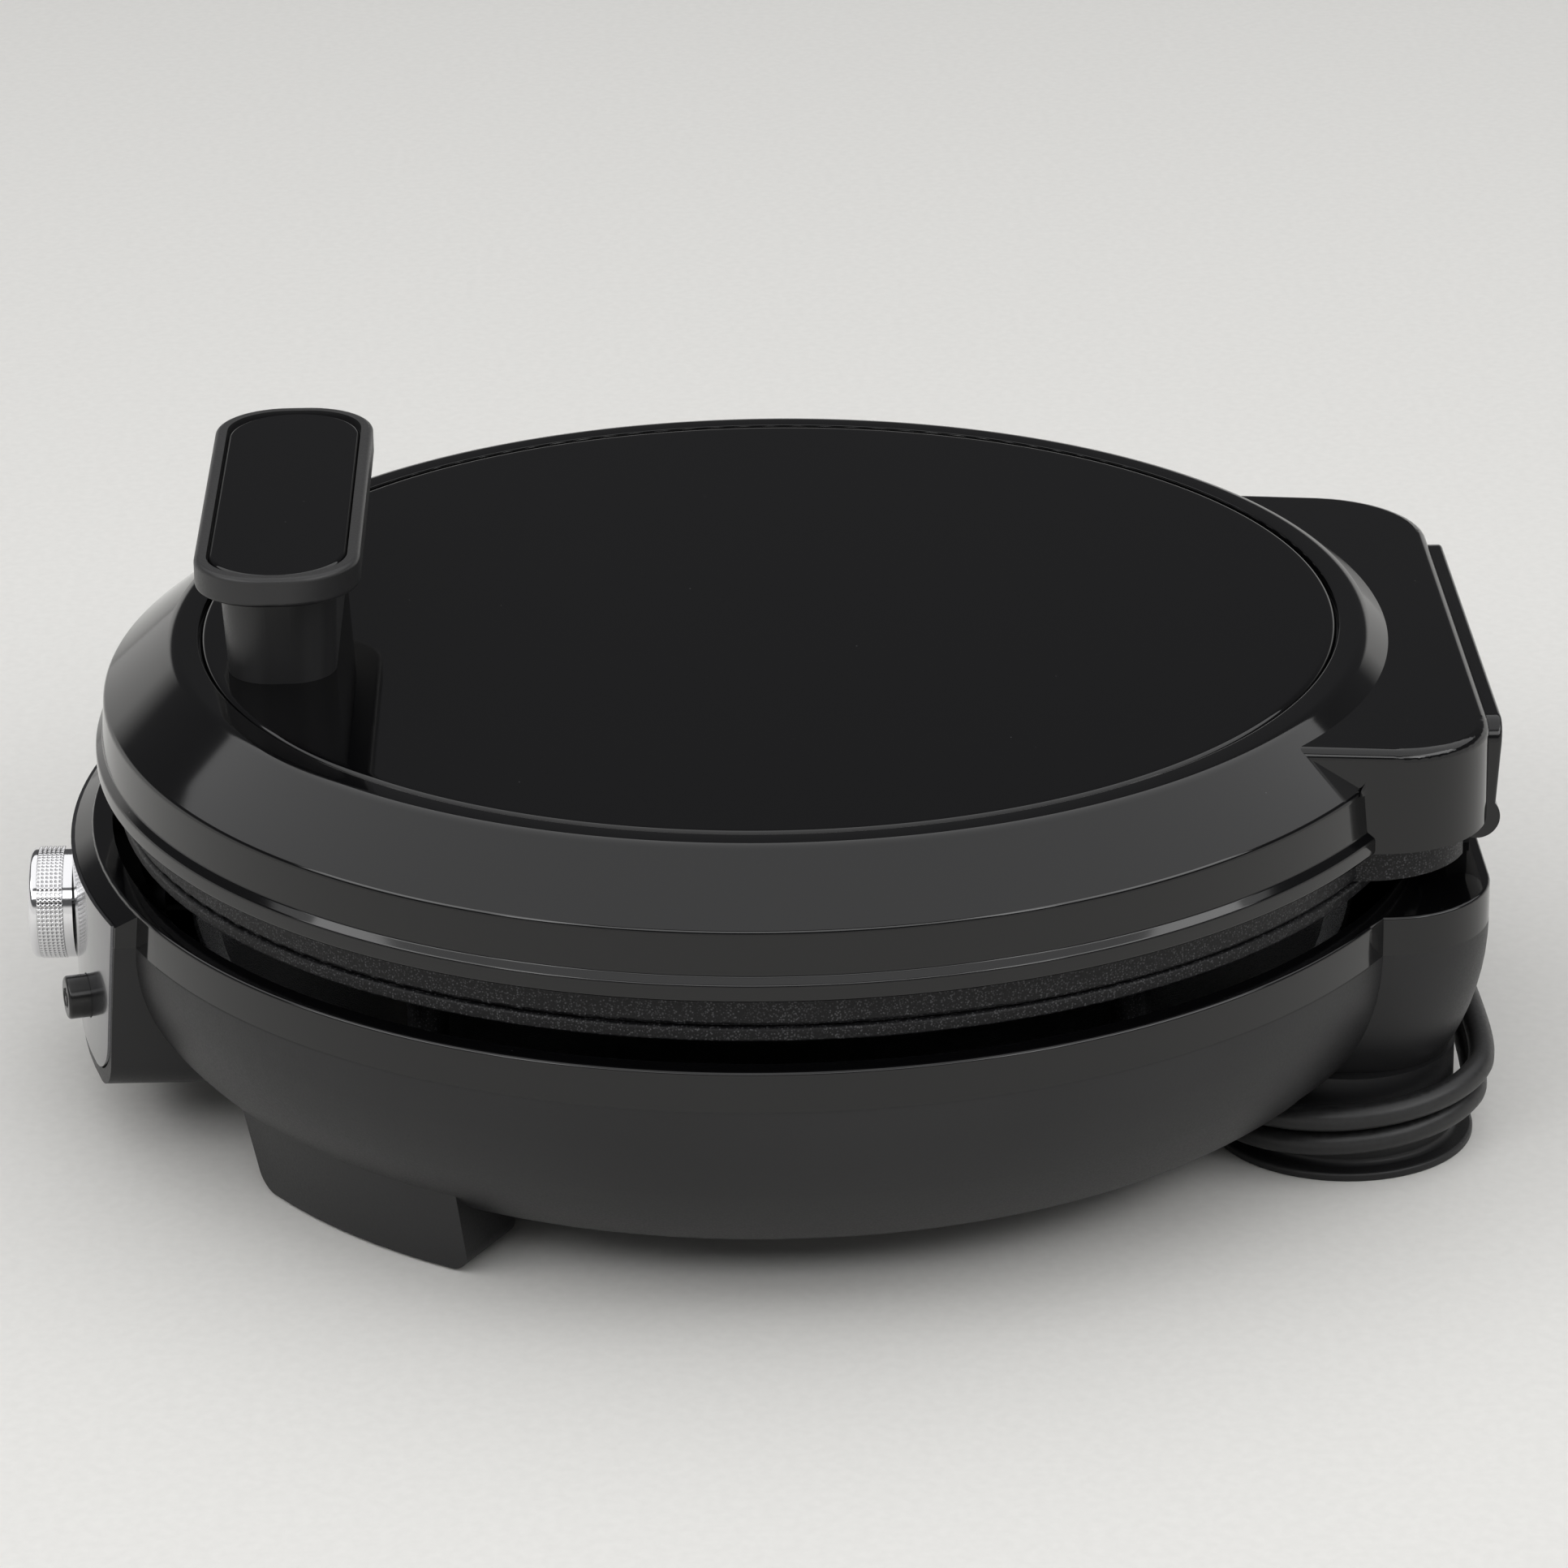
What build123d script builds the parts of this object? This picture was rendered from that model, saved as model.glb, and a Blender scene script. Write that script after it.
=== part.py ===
from build123d import *
import os
from math import acos, cos, degrees, hypot, pi, radians, sin, sqrt, tan

os.makedirs("parts", exist_ok=True)

# Electric pizza maker with a hinged lid, in millimetres.
# Every shape is drawn about the upright axis through the middle of the round plates, with
# the front at -Y and the standing surface at Z = 0, and is shifted along Y when it is saved,
# so that the origin lies under the middle of the whole appliance.

# Radii, outwards from the dish that holds a 12 inch (305 mm) pizza
dish_radius = 152.5
plate_rim_width = 10.9
trim_gap = 2.1
trim_land_width = 5.2
plate_rim_radius = dish_radius + plate_rim_width
trim_land_inner_radius = plate_rim_radius + trim_gap
bowl_radius = trim_land_inner_radius + trim_land_width

# Levels, upwards from the standing surface
bowl_bottom_level = 16.0
bowl_height = 44.0
trim_height = 10.0
rim_rise = 8.0
dish_depth = 7.0
plate_gap = 0.3
upper_dish_depth = 7.7
lid_lip_rise = 8.3
lid_height = 30.4
seam_level = bowl_bottom_level + bowl_height
trim_level = seam_level + trim_height
lower_rim_level = trim_level + rim_rise
lower_floor_level = lower_rim_level - dish_depth
upper_rim_level = lower_rim_level + plate_gap
upper_ceiling_level = upper_rim_level + upper_dish_depth
lid_lip_level = upper_rim_level + lid_lip_rise
lid_top_level = lid_lip_level + lid_height

# Hinge axis, from which both rear blocks and both leaves take their reach
hinge_axis_setback = 0.4
hinge_axis_rise = 15.0
hinge_barrel_radius = 5.5
hinge_pin_radius = 2.0
hinge_pin_fit = 0.01
hinge_running_fit = 0.06
hinge_clearance = 1.0
knuckle_gap = 0.5
centre_knuckle_half_width = 11.0
base_knuckle_length = 30.0
outer_knuckle_length = 22.5
hinge_axis_reach = bowl_radius - hinge_axis_setback
hinge_axis_level = trim_level + hinge_axis_rise
base_knuckle_start = centre_knuckle_half_width + knuckle_gap
base_knuckle_end = base_knuckle_start + base_knuckle_length
outer_knuckle_start = base_knuckle_end + knuckle_gap
leaf_half_width = outer_knuckle_start + outer_knuckle_length

# Base housing
bowl_side_curve = 53.0
bowl_bottom_rounding = 5.0
housing_wall = 2.5
rear_block_half_width = 90.0
rear_block_overhang = 3.4
rear_block_corner = 26.0
rear_block_rise = 2.4
rear_block_side_curve = 76.0
rear_block_sections = 4
rear_block_reach = hinge_axis_reach + rear_block_overhang
rear_block_bottom = bowl_bottom_level + rear_block_rise

# Front control block
block_proud = 4.8
block_half_width_top = 71.5
block_side_slope = 0.22
block_rise = 0.9
block_bottom_corner = 10.0
facet_drop = 4.0
facet_run = 6.2
block_face_radius = bowl_radius + block_proud
block_bottom_level = bowl_bottom_level + block_rise
panel_top_level = trim_level - facet_drop
facet_inner_radius = block_face_radius - facet_run

# Silver panel on the control block
panel_proud = 0.5
panel_thickness = 2.0
panel_side_margin = 1.3
panel_bottom_margin = 3.6
panel_corner = 13.0
panel_gap = 0.3
panel_face_radius = block_face_radius + panel_proud
panel_back_radius = panel_face_radius - panel_thickness
block_inner_radius = panel_back_radius - housing_wall

# Front legs
leg_setback = 20.0
leg_thickness = 21.7
leg_flare = 5.6
leg_bury = 10.0
leg_start_angle = -57.0
leg_sweep = 27.0
leg_corner = 5.0
leg_pad_thickness = 0.8
leg_pad_margin = 3.0
leg_outer_radius = bowl_radius - leg_setback
leg_inner_radius = leg_outer_radius - leg_thickness
leg_top_level = bowl_bottom_level + leg_bury

# Vents in the bottom
vent_length = 34.0
vent_width = 4.0
vent_spacing = 13.0
vent_row_offset = 26.0
vent_row_centre = -20.0
vent_count = 7

# Gloss trim
trim_wall = 2.5
trim_edge_rounding = 0.8
trim_deck_thickness = 2.5
throat_width = 6.0
throat_depth = 7.0
throat_skin = 1.0
trim_throat_radius = trim_land_inner_radius - throat_width
trim_throat_level = trim_level - throat_depth

# Plates
dish_wall_lean = 4.5
plate_thickness = 2.0
lower_rim_lip = 3.5
upper_rim_lip = 8.0
dish_foot_rounding = 3.0
rim_edge_rounding = 1.2
lip_edge_rounding = 0.6
boss_radius = 5.0
boss_inset = 32.5
boss_angles = (45, 135, 225, 315)
ear_inset = 3.2
ear_setback = 4.2
ear_inner_half_width = 71.0
boss_circle = dish_radius - boss_inset

# Heating elements and reflectors
element_circle = 95.0
element_width = 7.0
element_height = 6.0
element_gap_angle = 36.0
terminal_angle = 3.0
terminal_radius = 2.0
terminal_clearance = 2.0
terminal_stub = 6.0
reflector_inset = 12.5
reflector_rim_width = 6.0
reflector_rim_height = 5.0
reflector_thickness = 0.8
lower_reflector_drop = 29.0
upper_post_height = 10.0
reflector_radius = dish_radius - reflector_inset
reflector_rim_radius = reflector_radius + reflector_rim_width

# Lid
lid_lip_setback = 2.2
lid_lip_height = 4.0
lid_lip_chamfer = 1.8
lid_band_height = 10.5
lid_band_inset = 1.7
lid_band_lean = 0.8
lid_shoulder_width = 17.7
lid_shoulder_rounding = 4.5
lid_mouth_rounding = 0.8
lid_edge_rounding = 1.2
lid_band_rounding = 2.0
lid_wall = 2.5
disc_border = 6.9
disc_thickness = 2.5
disc_gap = 0.6
disc_edge_rounding = 0.7
lid_block_half_width = 90.0
lid_block_overhang = 2.0
lid_block_corner = 26.0
lid_block_drop = 2.6
lid_block_slope = 3.0
lid_block_slope_run = 58.0
lid_block_edge_rounding = 2.6
lid_lip_radius = bowl_radius - lid_lip_setback
lid_band_bottom_radius = lid_lip_radius - lid_band_inset
lid_band_top_radius = lid_band_bottom_radius - lid_band_lean
lid_shoulder_top_radius = lid_band_top_radius - lid_shoulder_width
lid_band_bottom_level = lid_lip_level + lid_lip_height + lid_lip_chamfer
lid_band_top_level = lid_band_bottom_level + lid_band_height
disc_radius = lid_shoulder_top_radius - disc_border
disc_seat_level = lid_top_level - disc_thickness
lid_ceiling_level = disc_seat_level - lid_wall
lid_block_reach = hinge_axis_reach + lid_block_overhang
lid_block_level = lid_top_level - lid_block_drop
lid_block_rear_level = lid_block_level - lid_block_slope
lower_reflector_level = lower_floor_level - plate_thickness - lower_reflector_drop
upper_reflector_level = lid_ceiling_level - upper_post_height - reflector_thickness

# Hinge leaves
leaf_thickness = 3.8
leaf_lean = 1.6
leaf_drop = 1.8
leaf_corner = 6.0
leaf_edge_rounding = 1.0
leaf_notch_rise = 7.2
leaf_screw_offsets = (-52.0, -18.0, 18.0, 52.0)
leaf_screw_radius = 1.5
leaf_screw_head_radius = 2.4
leaf_screw_head_height = 1.3
leaf_screw_stop = 2.4
leaf_screw_rise = 1.6
base_leaf_margin = 3.5
base_leaf_foot_depth = 17.0
base_leaf_thickness = 2.2
base_leaf_neck_thickness = 5.0
base_leaf_overhang = 0.8
base_leaf_screw_offsets = (-34.0, -19.0, 19.0, 34.0)
base_leaf_screw_grip = 6.0
hinge_leaf_reach = lid_block_reach + leaf_thickness
leaf_top_level = lid_block_rear_level - leaf_drop
leaf_notch_level = hinge_axis_level + leaf_notch_rise
base_leaf_reach = hinge_axis_reach + base_leaf_overhang

# Handle
handle_inset = 29.4
handle_clearance = 27.6
grip_length = 126.0
grip_width = 40.0
grip_height = 7.4
grip_corner = 17.5
grip_edge_rounding = 1.2
inlay_margin = 3.0
inlay_thickness = 1.6
inlay_drop = 0.5
inlay_gap = 0.25
inlay_edge_rounding = 0.6
stem_bottom_length = 84.0
stem_bottom_width = 26.4
stem_top_length = 90.0
stem_top_width = 29.0
stem_setback = 0.6
stem_corner = 11.0
handle_screw_offset = 26.0
handle_screw_radius = 2.0
handle_screw_length = 26.0
handle_screw_head_radius = 4.0
handle_reach = lid_shoulder_top_radius - handle_inset
grip_bottom_level = lid_top_level + handle_clearance
grip_top_level = grip_bottom_level + grip_height
inlay_seat_level = grip_top_level - inlay_drop - inlay_thickness

# Knob and thermostat
knob_radius = 14.0
knob_length = 11.2
knob_gap = 0.3
knob_drop = 27.6
knob_edge_rounding = 1.6
knob_bore_depth = 8.0
knob_bore_fit = 0.02
shaft_radius = 3.0
shaft_end_gap = 0.3
shaft_fit = 0.05
shaft_hole_clearance = 1.0
thermostat_radius = 11.0
thermostat_length = 18.0
thermostat_floor = 5.0
tab_offset = 6.0
tab_width = 3.2
tab_length = 7.0
tab_thickness = 0.8
knob_level = trim_level - knob_drop
knob_back_reach = panel_face_radius + knob_gap
knob_face_reach = knob_back_reach + knob_length

# Power button and lamps
button_angle = 14.4
button_drop = 6.4
button_radius = 5.4
button_height = 5.6
button_edge_rounding = 0.9
button_clearance = 0.3
button_travel = 2.5
button_flange_margin = 1.8
button_flange_thickness = 1.4
button_flange_gap = 0.6
switch_length = 12.0
switch_width = 15.0
switch_corner = 2.0
switch_play = 0.5
switch_sleeve_wall = 1.6
lamp_angles = (-11.5, -16.0)
lamp_radius = 2.4
lamp_height = 0.8
lamp_depth = 2.0
lamp_fit = 0.05
button_level = knob_level - button_drop
button_flange_radius = button_radius + button_flange_margin

# Rear feet and the lead
foot_offset = 58.0
foot_setback = 34.1
foot_flange_radius = 32.5
foot_flange_thickness = 2.2
foot_post_radius = 27.4
foot_screw_radius = 2.0
foot_screw_recess = 8.0
foot_screw_head_height = 2.0
foot_screw_clearance = 1.0
foot_root_rounding = 1.5
recess_margin = 6.5
recess_depth = 9.2
cord_diameter = 6.4
winding_radii = (34.6, 31.6, 33.2)
winding_ceiling_gap = 3.6
winding_drop = 6.0
winding_pitch = 7.1
gland_offset = 21.6
gland_drop = 5.4
gland_length = 14.0
gland_width = 13.0
gland_height = 9.6
gland_edge_rounding = 2.5
relief_start = -20.0
relief_length = 20.0
relief_root_radius = 4.7
relief_tip_radius = 3.8
relief_run = 7.0
foot_reach = rear_block_reach - foot_setback
recess_radius = winding_radii[0] + recess_margin
recess_ceiling = bowl_bottom_level + recess_depth
winding_high = recess_ceiling - winding_ceiling_gap
gland_reach = foot_reach - gland_offset
gland_level = recess_ceiling - gland_drop

# Terminal block, on the floor in front of the cord store
terminal_block_length = 40.0
terminal_block_width = 16.0
terminal_block_height = 12.0
terminal_block_setback = 6.0
terminal_well_radius = 2.5
terminal_well_spacing = 12.0
terminal_well_depth = 7.0
terminal_block_rear = foot_reach - recess_radius - housing_wall - terminal_block_setback
terminal_block_reach = terminal_block_rear - terminal_block_width / 2

# Plug
plug_x = -200.0
surface_gap = 0.1
bend_share = 0.45
plug_length = 46.0
plug_width = 50.0
plug_thickness = 20.0
plug_lean = 4.0
plug_corner = 12.0
plug_neck_length = 12.0
plug_neck_overlap = 3.0
plug_neck_root = 5.8
plug_neck_tip = 3.9
plug_level = 9.0
earth_pin_size = (4.0, 8.0, 22.7)
live_pin_size = (6.4, 4.0, 17.7)
earth_pin_setback = 11.0
live_pin_setback = 10.0
live_pin_offset = 11.1

# Screws
screw_radius = 1.8
screw_fit = 0.1
screw_head_radius = 3.5
screw_head_height = 2.2
screw_stop = 1.0

# Shift along Y that puts the origin under the middle of the appliance
plate_axis_y = (knob_face_reach - hinge_leaf_reach) / 2

# Cutters reach this far past the faces that they cut
overshoot = 1.0


def turned(half_profile, start=0.0, sweep=360.0):
    """Revolve a half profile, drawn as radius and height, about the plate axis."""
    return Rot(0, 0, start) * revolve(Plane.XZ * half_profile, Axis.Z, sweep)


def outline(*points):
    """Closed flat face through the given corners."""
    return make_face(Polyline(*points, close=True))


def rounded_outline(points, radii):
    """Closed flat face through the given corners, each with its own rounding."""
    return make_face(FilletPolyline(*points, radius=radii, close=True))


def upright(radius, bottom, top, x=0.0, y=0.0):
    """Upright cylinder between two levels."""
    return Pos(x, y, bottom) * extrude(Circle(radius), top - bottom)


def sideways(radius, start, end, y, z):
    """Cylinder parallel to X from start to end."""
    section = Plane((start, y, z), x_dir=(0, 1, 0), z_dir=(1, 0, 0)) * Circle(radius)
    return extrude(section, end - start)


def frontward(radius, start, end, x, z):
    """Cylinder parallel to Y that runs towards the front, from one reach to another."""
    section = Plane((x, -start, z), x_dir=(1, 0, 0), z_dir=(0, -1, 0)) * Circle(radius)
    return extrude(section, end - start)


def rearward(radius, start, end, x, z):
    """Cylinder parallel to Y that runs towards the back, from one reach to another."""
    section = Plane((x, start, z), x_dir=(1, 0, 0), z_dir=(0, 1, 0)) * Circle(radius)
    return extrude(section, end - start)


def slab(x0, x1, y0, y1, z0, z1):
    """Plain block between two corners."""
    return Pos(x0, y0, z0) * Box(x1 - x0, y1 - y0, z1 - z0, align=(Align.MIN, Align.MIN, Align.MIN))


def radial_plane(angle, level):
    """Plane at the plate axis whose normal points outwards, this angle from straight ahead."""
    a = radians(angle)
    return Plane((0, 0, level), x_dir=(cos(a), sin(a), 0), z_dir=(sin(a), -cos(a), 0))


def radial_cylinder(radius, start, end, angle, level):
    """Cylinder on a radial plane, between two distances from the plate axis."""
    return radial_plane(angle, level) * Pos(0, 0, start) * extrude(Circle(radius), end - start)


def mirrored_pair(shape):
    """The shape together with its mirror image across the middle plane."""
    return [shape, mirror(shape, Plane.YZ)]


def save(shape, name):
    """Shift a finished piece into the appliance's frame and write its file."""
    if isinstance(shape, list):
        moved = Compound(children=[Pos(0, plate_axis_y, 0) * piece for piece in shape])
    else:
        moved = Pos(0, plate_axis_y, 0) * shape
    export_step(moved, f"parts/{name}.step")


def rear_outline(half_width, reach, corner):
    """Plan of a block behind the plate axis, with two rounded rear corners."""
    plan = Pos(0, reach / 2) * Rectangle(2 * half_width, reach)
    return fillet(plan.vertices().group_by(Axis.Y)[-1], corner)


def rear_prism(half_width, reach, corner, bottom, top):
    """Upright block with the rear outline."""
    return Pos(0, 0, bottom) * extrude(rear_outline(half_width, reach, corner), top - bottom)


def rear_block(inset, top):
    """Rear block of the base: upright at the seam and drawn in along an arc below it."""
    half_width = rear_block_half_width - inset
    reach = rear_block_reach - inset
    corner = rear_block_corner - inset
    drop = seam_level - rear_block_bottom - inset
    sections = []
    for step in range(rear_block_sections + 1):
        down = drop * step / rear_block_sections
        draw = rear_block_side_curve - sqrt(rear_block_side_curve ** 2 - down ** 2)
        plan = rear_outline(half_width - draw, reach - draw, corner - draw / 2)
        sections.append(Pos(0, 0, seam_level - down) * plan)
    block = loft(sections)
    if top > seam_level:
        block = block + rear_prism(half_width, reach, corner, seam_level, top)
    return block


def block_half_width(level):
    """Half width of the control block at a level: its sides lean outwards going up."""
    return block_half_width_top - block_side_slope * (panel_top_level - level)


def front_prism(margin, bottom, corner, top, face_radius):
    """Shield with rounded lower corners, narrower than the block by margin on each side."""
    low = block_half_width(bottom) - margin
    high = block_half_width(top) - margin
    points = ((-low, bottom), (low, bottom), (high, top), (-high, top))
    shield = rounded_outline(points, (corner, corner, 0, 0))
    block = extrude(Plane.XZ * shield, face_radius + overshoot)
    return block & upright(face_radius, bottom - overshoot, top + overshoot)


def leg_sector(inset):
    """One front leg: a curved wall that follows the bowl and flares up into it."""
    bottom = leg_pad_thickness + inset
    points = (
        (leg_inner_radius + inset, bottom),
        (leg_outer_radius - inset, bottom),
        (leg_outer_radius + leg_flare - inset, leg_top_level),
        (leg_inner_radius + inset, leg_top_level),
    )
    inset_angle = degrees(inset / leg_outer_radius)
    return turned(outline(*points), leg_start_angle + inset_angle, leg_sweep - 2 * inset_angle)


def leg():
    """One front leg with its ends rounded where it meets the standing surface."""
    sector = leg_sector(0)
    lowest = sector.edges().group_by(Axis.Z)[0]
    return fillet(lowest.filter_by(GeomType.LINE), leg_corner)


def bowl_profile(inset, top):
    """Half section of the bowl: flat bottom and one arc that ends upright at the seam."""
    radius = bowl_side_curve - inset
    centre = bowl_radius - bowl_side_curve
    bottom = bowl_bottom_level + inset
    drop = seam_level - bottom
    edge = centre + sqrt(radius ** 2 - drop ** 2)
    half = acos(drop / radius) / 2 + pi / 4
    middle = (centre + radius * sin(half), seam_level - radius * cos(half))
    side = ThreePointArc((edge, bottom), middle, (centre + radius, seam_level))
    corners = [(centre + radius, seam_level), (0, seam_level), (0, bottom), (edge, bottom)]
    if top > seam_level:
        corners[1:2] = [(centre + radius, top), (0, top)]
    return make_face(side + Polyline(*corners))


def base_form(inset, top, face_radius):
    """Body of the base drawn in by inset: bowl, rear block and control block."""
    bowl = turned(bowl_profile(inset, top))
    if inset == 0:
        bowl = fillet(bowl.edges().group_by(Axis.Z)[0], bowl_bottom_rounding)
    block = front_prism(inset, block_bottom_level + inset, block_bottom_corner, top, face_radius)
    return bowl + rear_block(inset, top) + block


def panel_form(gap):
    """Bowed panel insert; gap widens it into the recess that it lies in."""
    bottom = block_bottom_level + panel_bottom_margin - gap
    top = panel_top_level + gap
    shield = front_prism(panel_side_margin - gap, bottom, panel_corner, top, panel_face_radius + gap)
    return shield - upright(panel_back_radius, bottom - overshoot, top + overshoot)


def recess_form(margin, top):
    """Cord store under the rear block: a long round-ended pocket about both rear feet."""
    pocket = SlotCenterToCenter(2 * foot_offset, 2 * (recess_radius + margin))
    return Pos(0, foot_reach, 0) * extrude(pocket, top)


def boss_places():
    """Centres of the four plate bosses."""
    return [(boss_circle * cos(radians(a)), boss_circle * sin(radians(a))) for a in boss_angles]


def panel_holes():
    """Holes for the thermostat shaft, the button and the lamps, through panel and housing."""
    start = block_inner_radius - housing_wall
    end = panel_face_radius + overshoot
    holes = [frontward(shaft_radius + shaft_hole_clearance, start, end, 0, knob_level)]
    holes.append(radial_cylinder(button_radius + button_clearance, start, end, button_angle, button_level))
    for angle in lamp_angles:
        holes.append(radial_cylinder(lamp_radius, start, end, angle, button_level))
    return holes


def vent_slots():
    """Two rows of round-ended slots through the bottom."""
    slots = []
    for row in (-1, 1):
        for step in range(vent_count):
            x = vent_spacing * (step - (vent_count - 1) / 2)
            place = Pos(x, vent_row_centre + vent_row_offset * row, bowl_bottom_level - overshoot)
            slot = SlotOverall(vent_length, vent_width, rotation=90)
            slots.append(place * extrude(slot, 2 * housing_wall))
    return slots


def base_housing():
    """Moulded bowl with control block, rear block, legs, cord store, vents and posts."""
    outer = base_form(0, seam_level, block_face_radius) + mirrored_pair(leg())
    inner = base_form(housing_wall, seam_level + overshoot, block_inner_radius)
    inner = inner + mirrored_pair(leg_sector(housing_wall))
    inner = inner - recess_form(housing_wall, recess_ceiling + housing_wall)
    body = outer - inner - recess_form(0, recess_ceiling)
    floor = bowl_bottom_level + housing_wall / 2
    for x, y in boss_places():
        body = body + upright(boss_radius, floor, lower_reflector_level, x, y)
    for x, y in boss_places():
        body = body - upright(screw_radius + screw_fit, 0, lower_reflector_level + overshoot, x, y)
        body = body - upright(screw_head_radius + screw_fit, 0, bowl_bottom_level + screw_head_height, x, y)
    for x in (-foot_offset, foot_offset):
        hole = upright(foot_screw_radius + screw_fit, 0, recess_ceiling + 2 * housing_wall, x, foot_reach)
        body = body - hole
    return body - vent_slots() - panel_form(panel_gap) - panel_holes()


def leg_pads():
    """Rubber pads under both front legs."""
    points = (
        (leg_inner_radius + leg_pad_margin, 0),
        (leg_outer_radius - leg_pad_margin, 0),
        (leg_outer_radius - leg_pad_margin, leg_pad_thickness),
        (leg_inner_radius + leg_pad_margin, leg_pad_thickness),
    )
    inset_angle = degrees((leg_corner + leg_pad_margin) / leg_outer_radius)
    pad = turned(outline(*points), leg_start_angle + inset_angle, leg_sweep - 2 * inset_angle)
    return mirrored_pair(pad)


def base_trim():
    """Gloss ring with the sloped facet over the panel and the deck of the rear block."""
    outer = upright(bowl_radius, seam_level, trim_level)
    outer = fillet(outer.edges().group_by(Axis.Z)[-1], trim_edge_rounding)
    rear = rear_prism(rear_block_half_width, rear_block_reach, rear_block_corner, seam_level, trim_level)
    rear = fillet(rear.edges().group_by(Axis.Z)[-1], trim_edge_rounding)
    facet = outline(
        (trim_throat_radius, seam_level),
        (block_face_radius, seam_level),
        (block_face_radius, panel_top_level),
        (facet_inner_radius, trim_level),
        (trim_throat_radius, trim_level),
    )
    low = block_half_width(seam_level)
    high = block_half_width(trim_level)
    sides = outline((-low, seam_level), (low, seam_level), (high, trim_level), (-high, trim_level))
    front = turned(facet, 180, 180) & extrude(Plane.XZ * sides, block_face_radius + overshoot)
    deck_underside = trim_level - trim_deck_thickness
    inside = upright(bowl_radius - trim_wall, seam_level - overshoot, deck_underside)
    inside = inside + rear_prism(
        rear_block_half_width - trim_wall,
        rear_block_reach - trim_wall,
        rear_block_corner - trim_wall,
        seam_level - overshoot,
        deck_underside,
    )
    mouth = upright(trim_land_inner_radius, seam_level - overshoot, trim_level + overshoot)
    body = outer + rear + front - inside - mouth
    for x, y in base_leaf_screw_places():
        body = body - upright(leaf_screw_radius + screw_fit, seam_level, trim_level + overshoot, x, y)
    throat = outline(
        (trim_land_inner_radius, trim_level),
        (trim_land_inner_radius + throat_skin, deck_underside),
        (trim_throat_radius + throat_skin, trim_throat_level - trim_deck_thickness),
        (trim_throat_radius, trim_throat_level),
    )
    return body + turned(throat) - panel_form(panel_gap) - panel_holes()


def plate_profile(floor, rim, lip):
    """Half section of a plate: dish, flat rim and a lip that turns away from the other plate."""
    away = 1 if floor > rim else -1
    t = plate_thickness
    foot = dish_radius - dish_wall_lean
    points = (
        (0, floor),
        (foot, floor),
        (dish_radius, rim),
        (plate_rim_radius, rim),
        (plate_rim_radius, rim + away * lip),
        (plate_rim_radius - t, rim + away * lip),
        (plate_rim_radius - t, rim + away * t),
        (dish_radius + t, rim + away * t),
        (foot + t, floor + away * t),
        (0, floor + away * t),
    )
    radii = (0, dish_foot_rounding, rim_edge_rounding, rim_edge_rounding, lip_edge_rounding, 0, 0, 0, 0, 0)
    return rounded_outline(points, radii)


def lower_plate():
    """Cast dish with a flat rim, a turned-down lip and four bosses."""
    plate = turned(plate_profile(lower_floor_level, lower_rim_level, lower_rim_lip))
    foot = lower_reflector_level + reflector_thickness
    for x, y in boss_places():
        plate = plate + upright(boss_radius, foot, lower_floor_level - plate_thickness / 2, x, y)
    for x, y in boss_places():
        plate = plate - upright(screw_radius + screw_fit, 0, lower_floor_level - 2 * plate_thickness, x, y)
    return plate


def upper_plate():
    """Cast dish, upside down, with four bosses and two ears under the lid's rear block."""
    t = plate_thickness
    plate = turned(plate_profile(upper_ceiling_level, upper_rim_level, upper_rim_lip))
    ear_top = upper_rim_level + upper_rim_lip
    half_width = lid_block_half_width - ear_inset
    reach = lid_block_reach - ear_setback
    past = ear_top + overshoot
    ear = rear_prism(half_width, reach, lid_block_corner, upper_rim_level, ear_top)
    hollow = rear_prism(half_width - t, reach - t, lid_block_corner - t, upper_rim_level + t, past)
    middle = slab(-ear_inner_half_width, ear_inner_half_width, 0, reach + overshoot, 0, past)
    plate = plate + (ear - hollow - middle - upright(plate_rim_radius - t / 2, 0, past))
    for x, y in boss_places():
        plate = plate + upright(boss_radius, upper_ceiling_level + t / 2, upper_reflector_level, x, y)
    low = upper_ceiling_level + 2 * t
    high = upper_reflector_level + overshoot
    for x, y in boss_places():
        plate = plate - upright(screw_radius + screw_fit, low, high, x, y)
    return plate


def terminal_places():
    """Centres of the two terminals of a heating element."""
    places = []
    for side in (-1, 1):
        angle = radians(90 + side * (element_gap_angle / 2 + terminal_angle))
        places.append((element_circle * cos(angle), element_circle * sin(angle)))
    return places


def heating_element(face_level, reflector_far_level):
    """Open ring of sheathed element, flat towards the plate, with a terminal at each end."""
    away = 1 if reflector_far_level > face_level else -1
    half = element_width / 2
    far = face_level + away * element_height
    shoulder = far - away * half
    flat_side = Polyline(
        (element_circle - half, shoulder),
        (element_circle - half, face_level),
        (element_circle + half, face_level),
        (element_circle + half, shoulder),
    )
    crown = ThreePointArc(flat_side @ 1, (element_circle, far), flat_side @ 0)
    tube = turned(make_face(flat_side + crown), 90 + element_gap_angle / 2, 360 - element_gap_angle)
    low, high = sorted((shoulder, reflector_far_level + away * terminal_stub))
    for x, y in terminal_places():
        tube = tube + upright(terminal_radius, low, high, x, y)
    return tube


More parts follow.
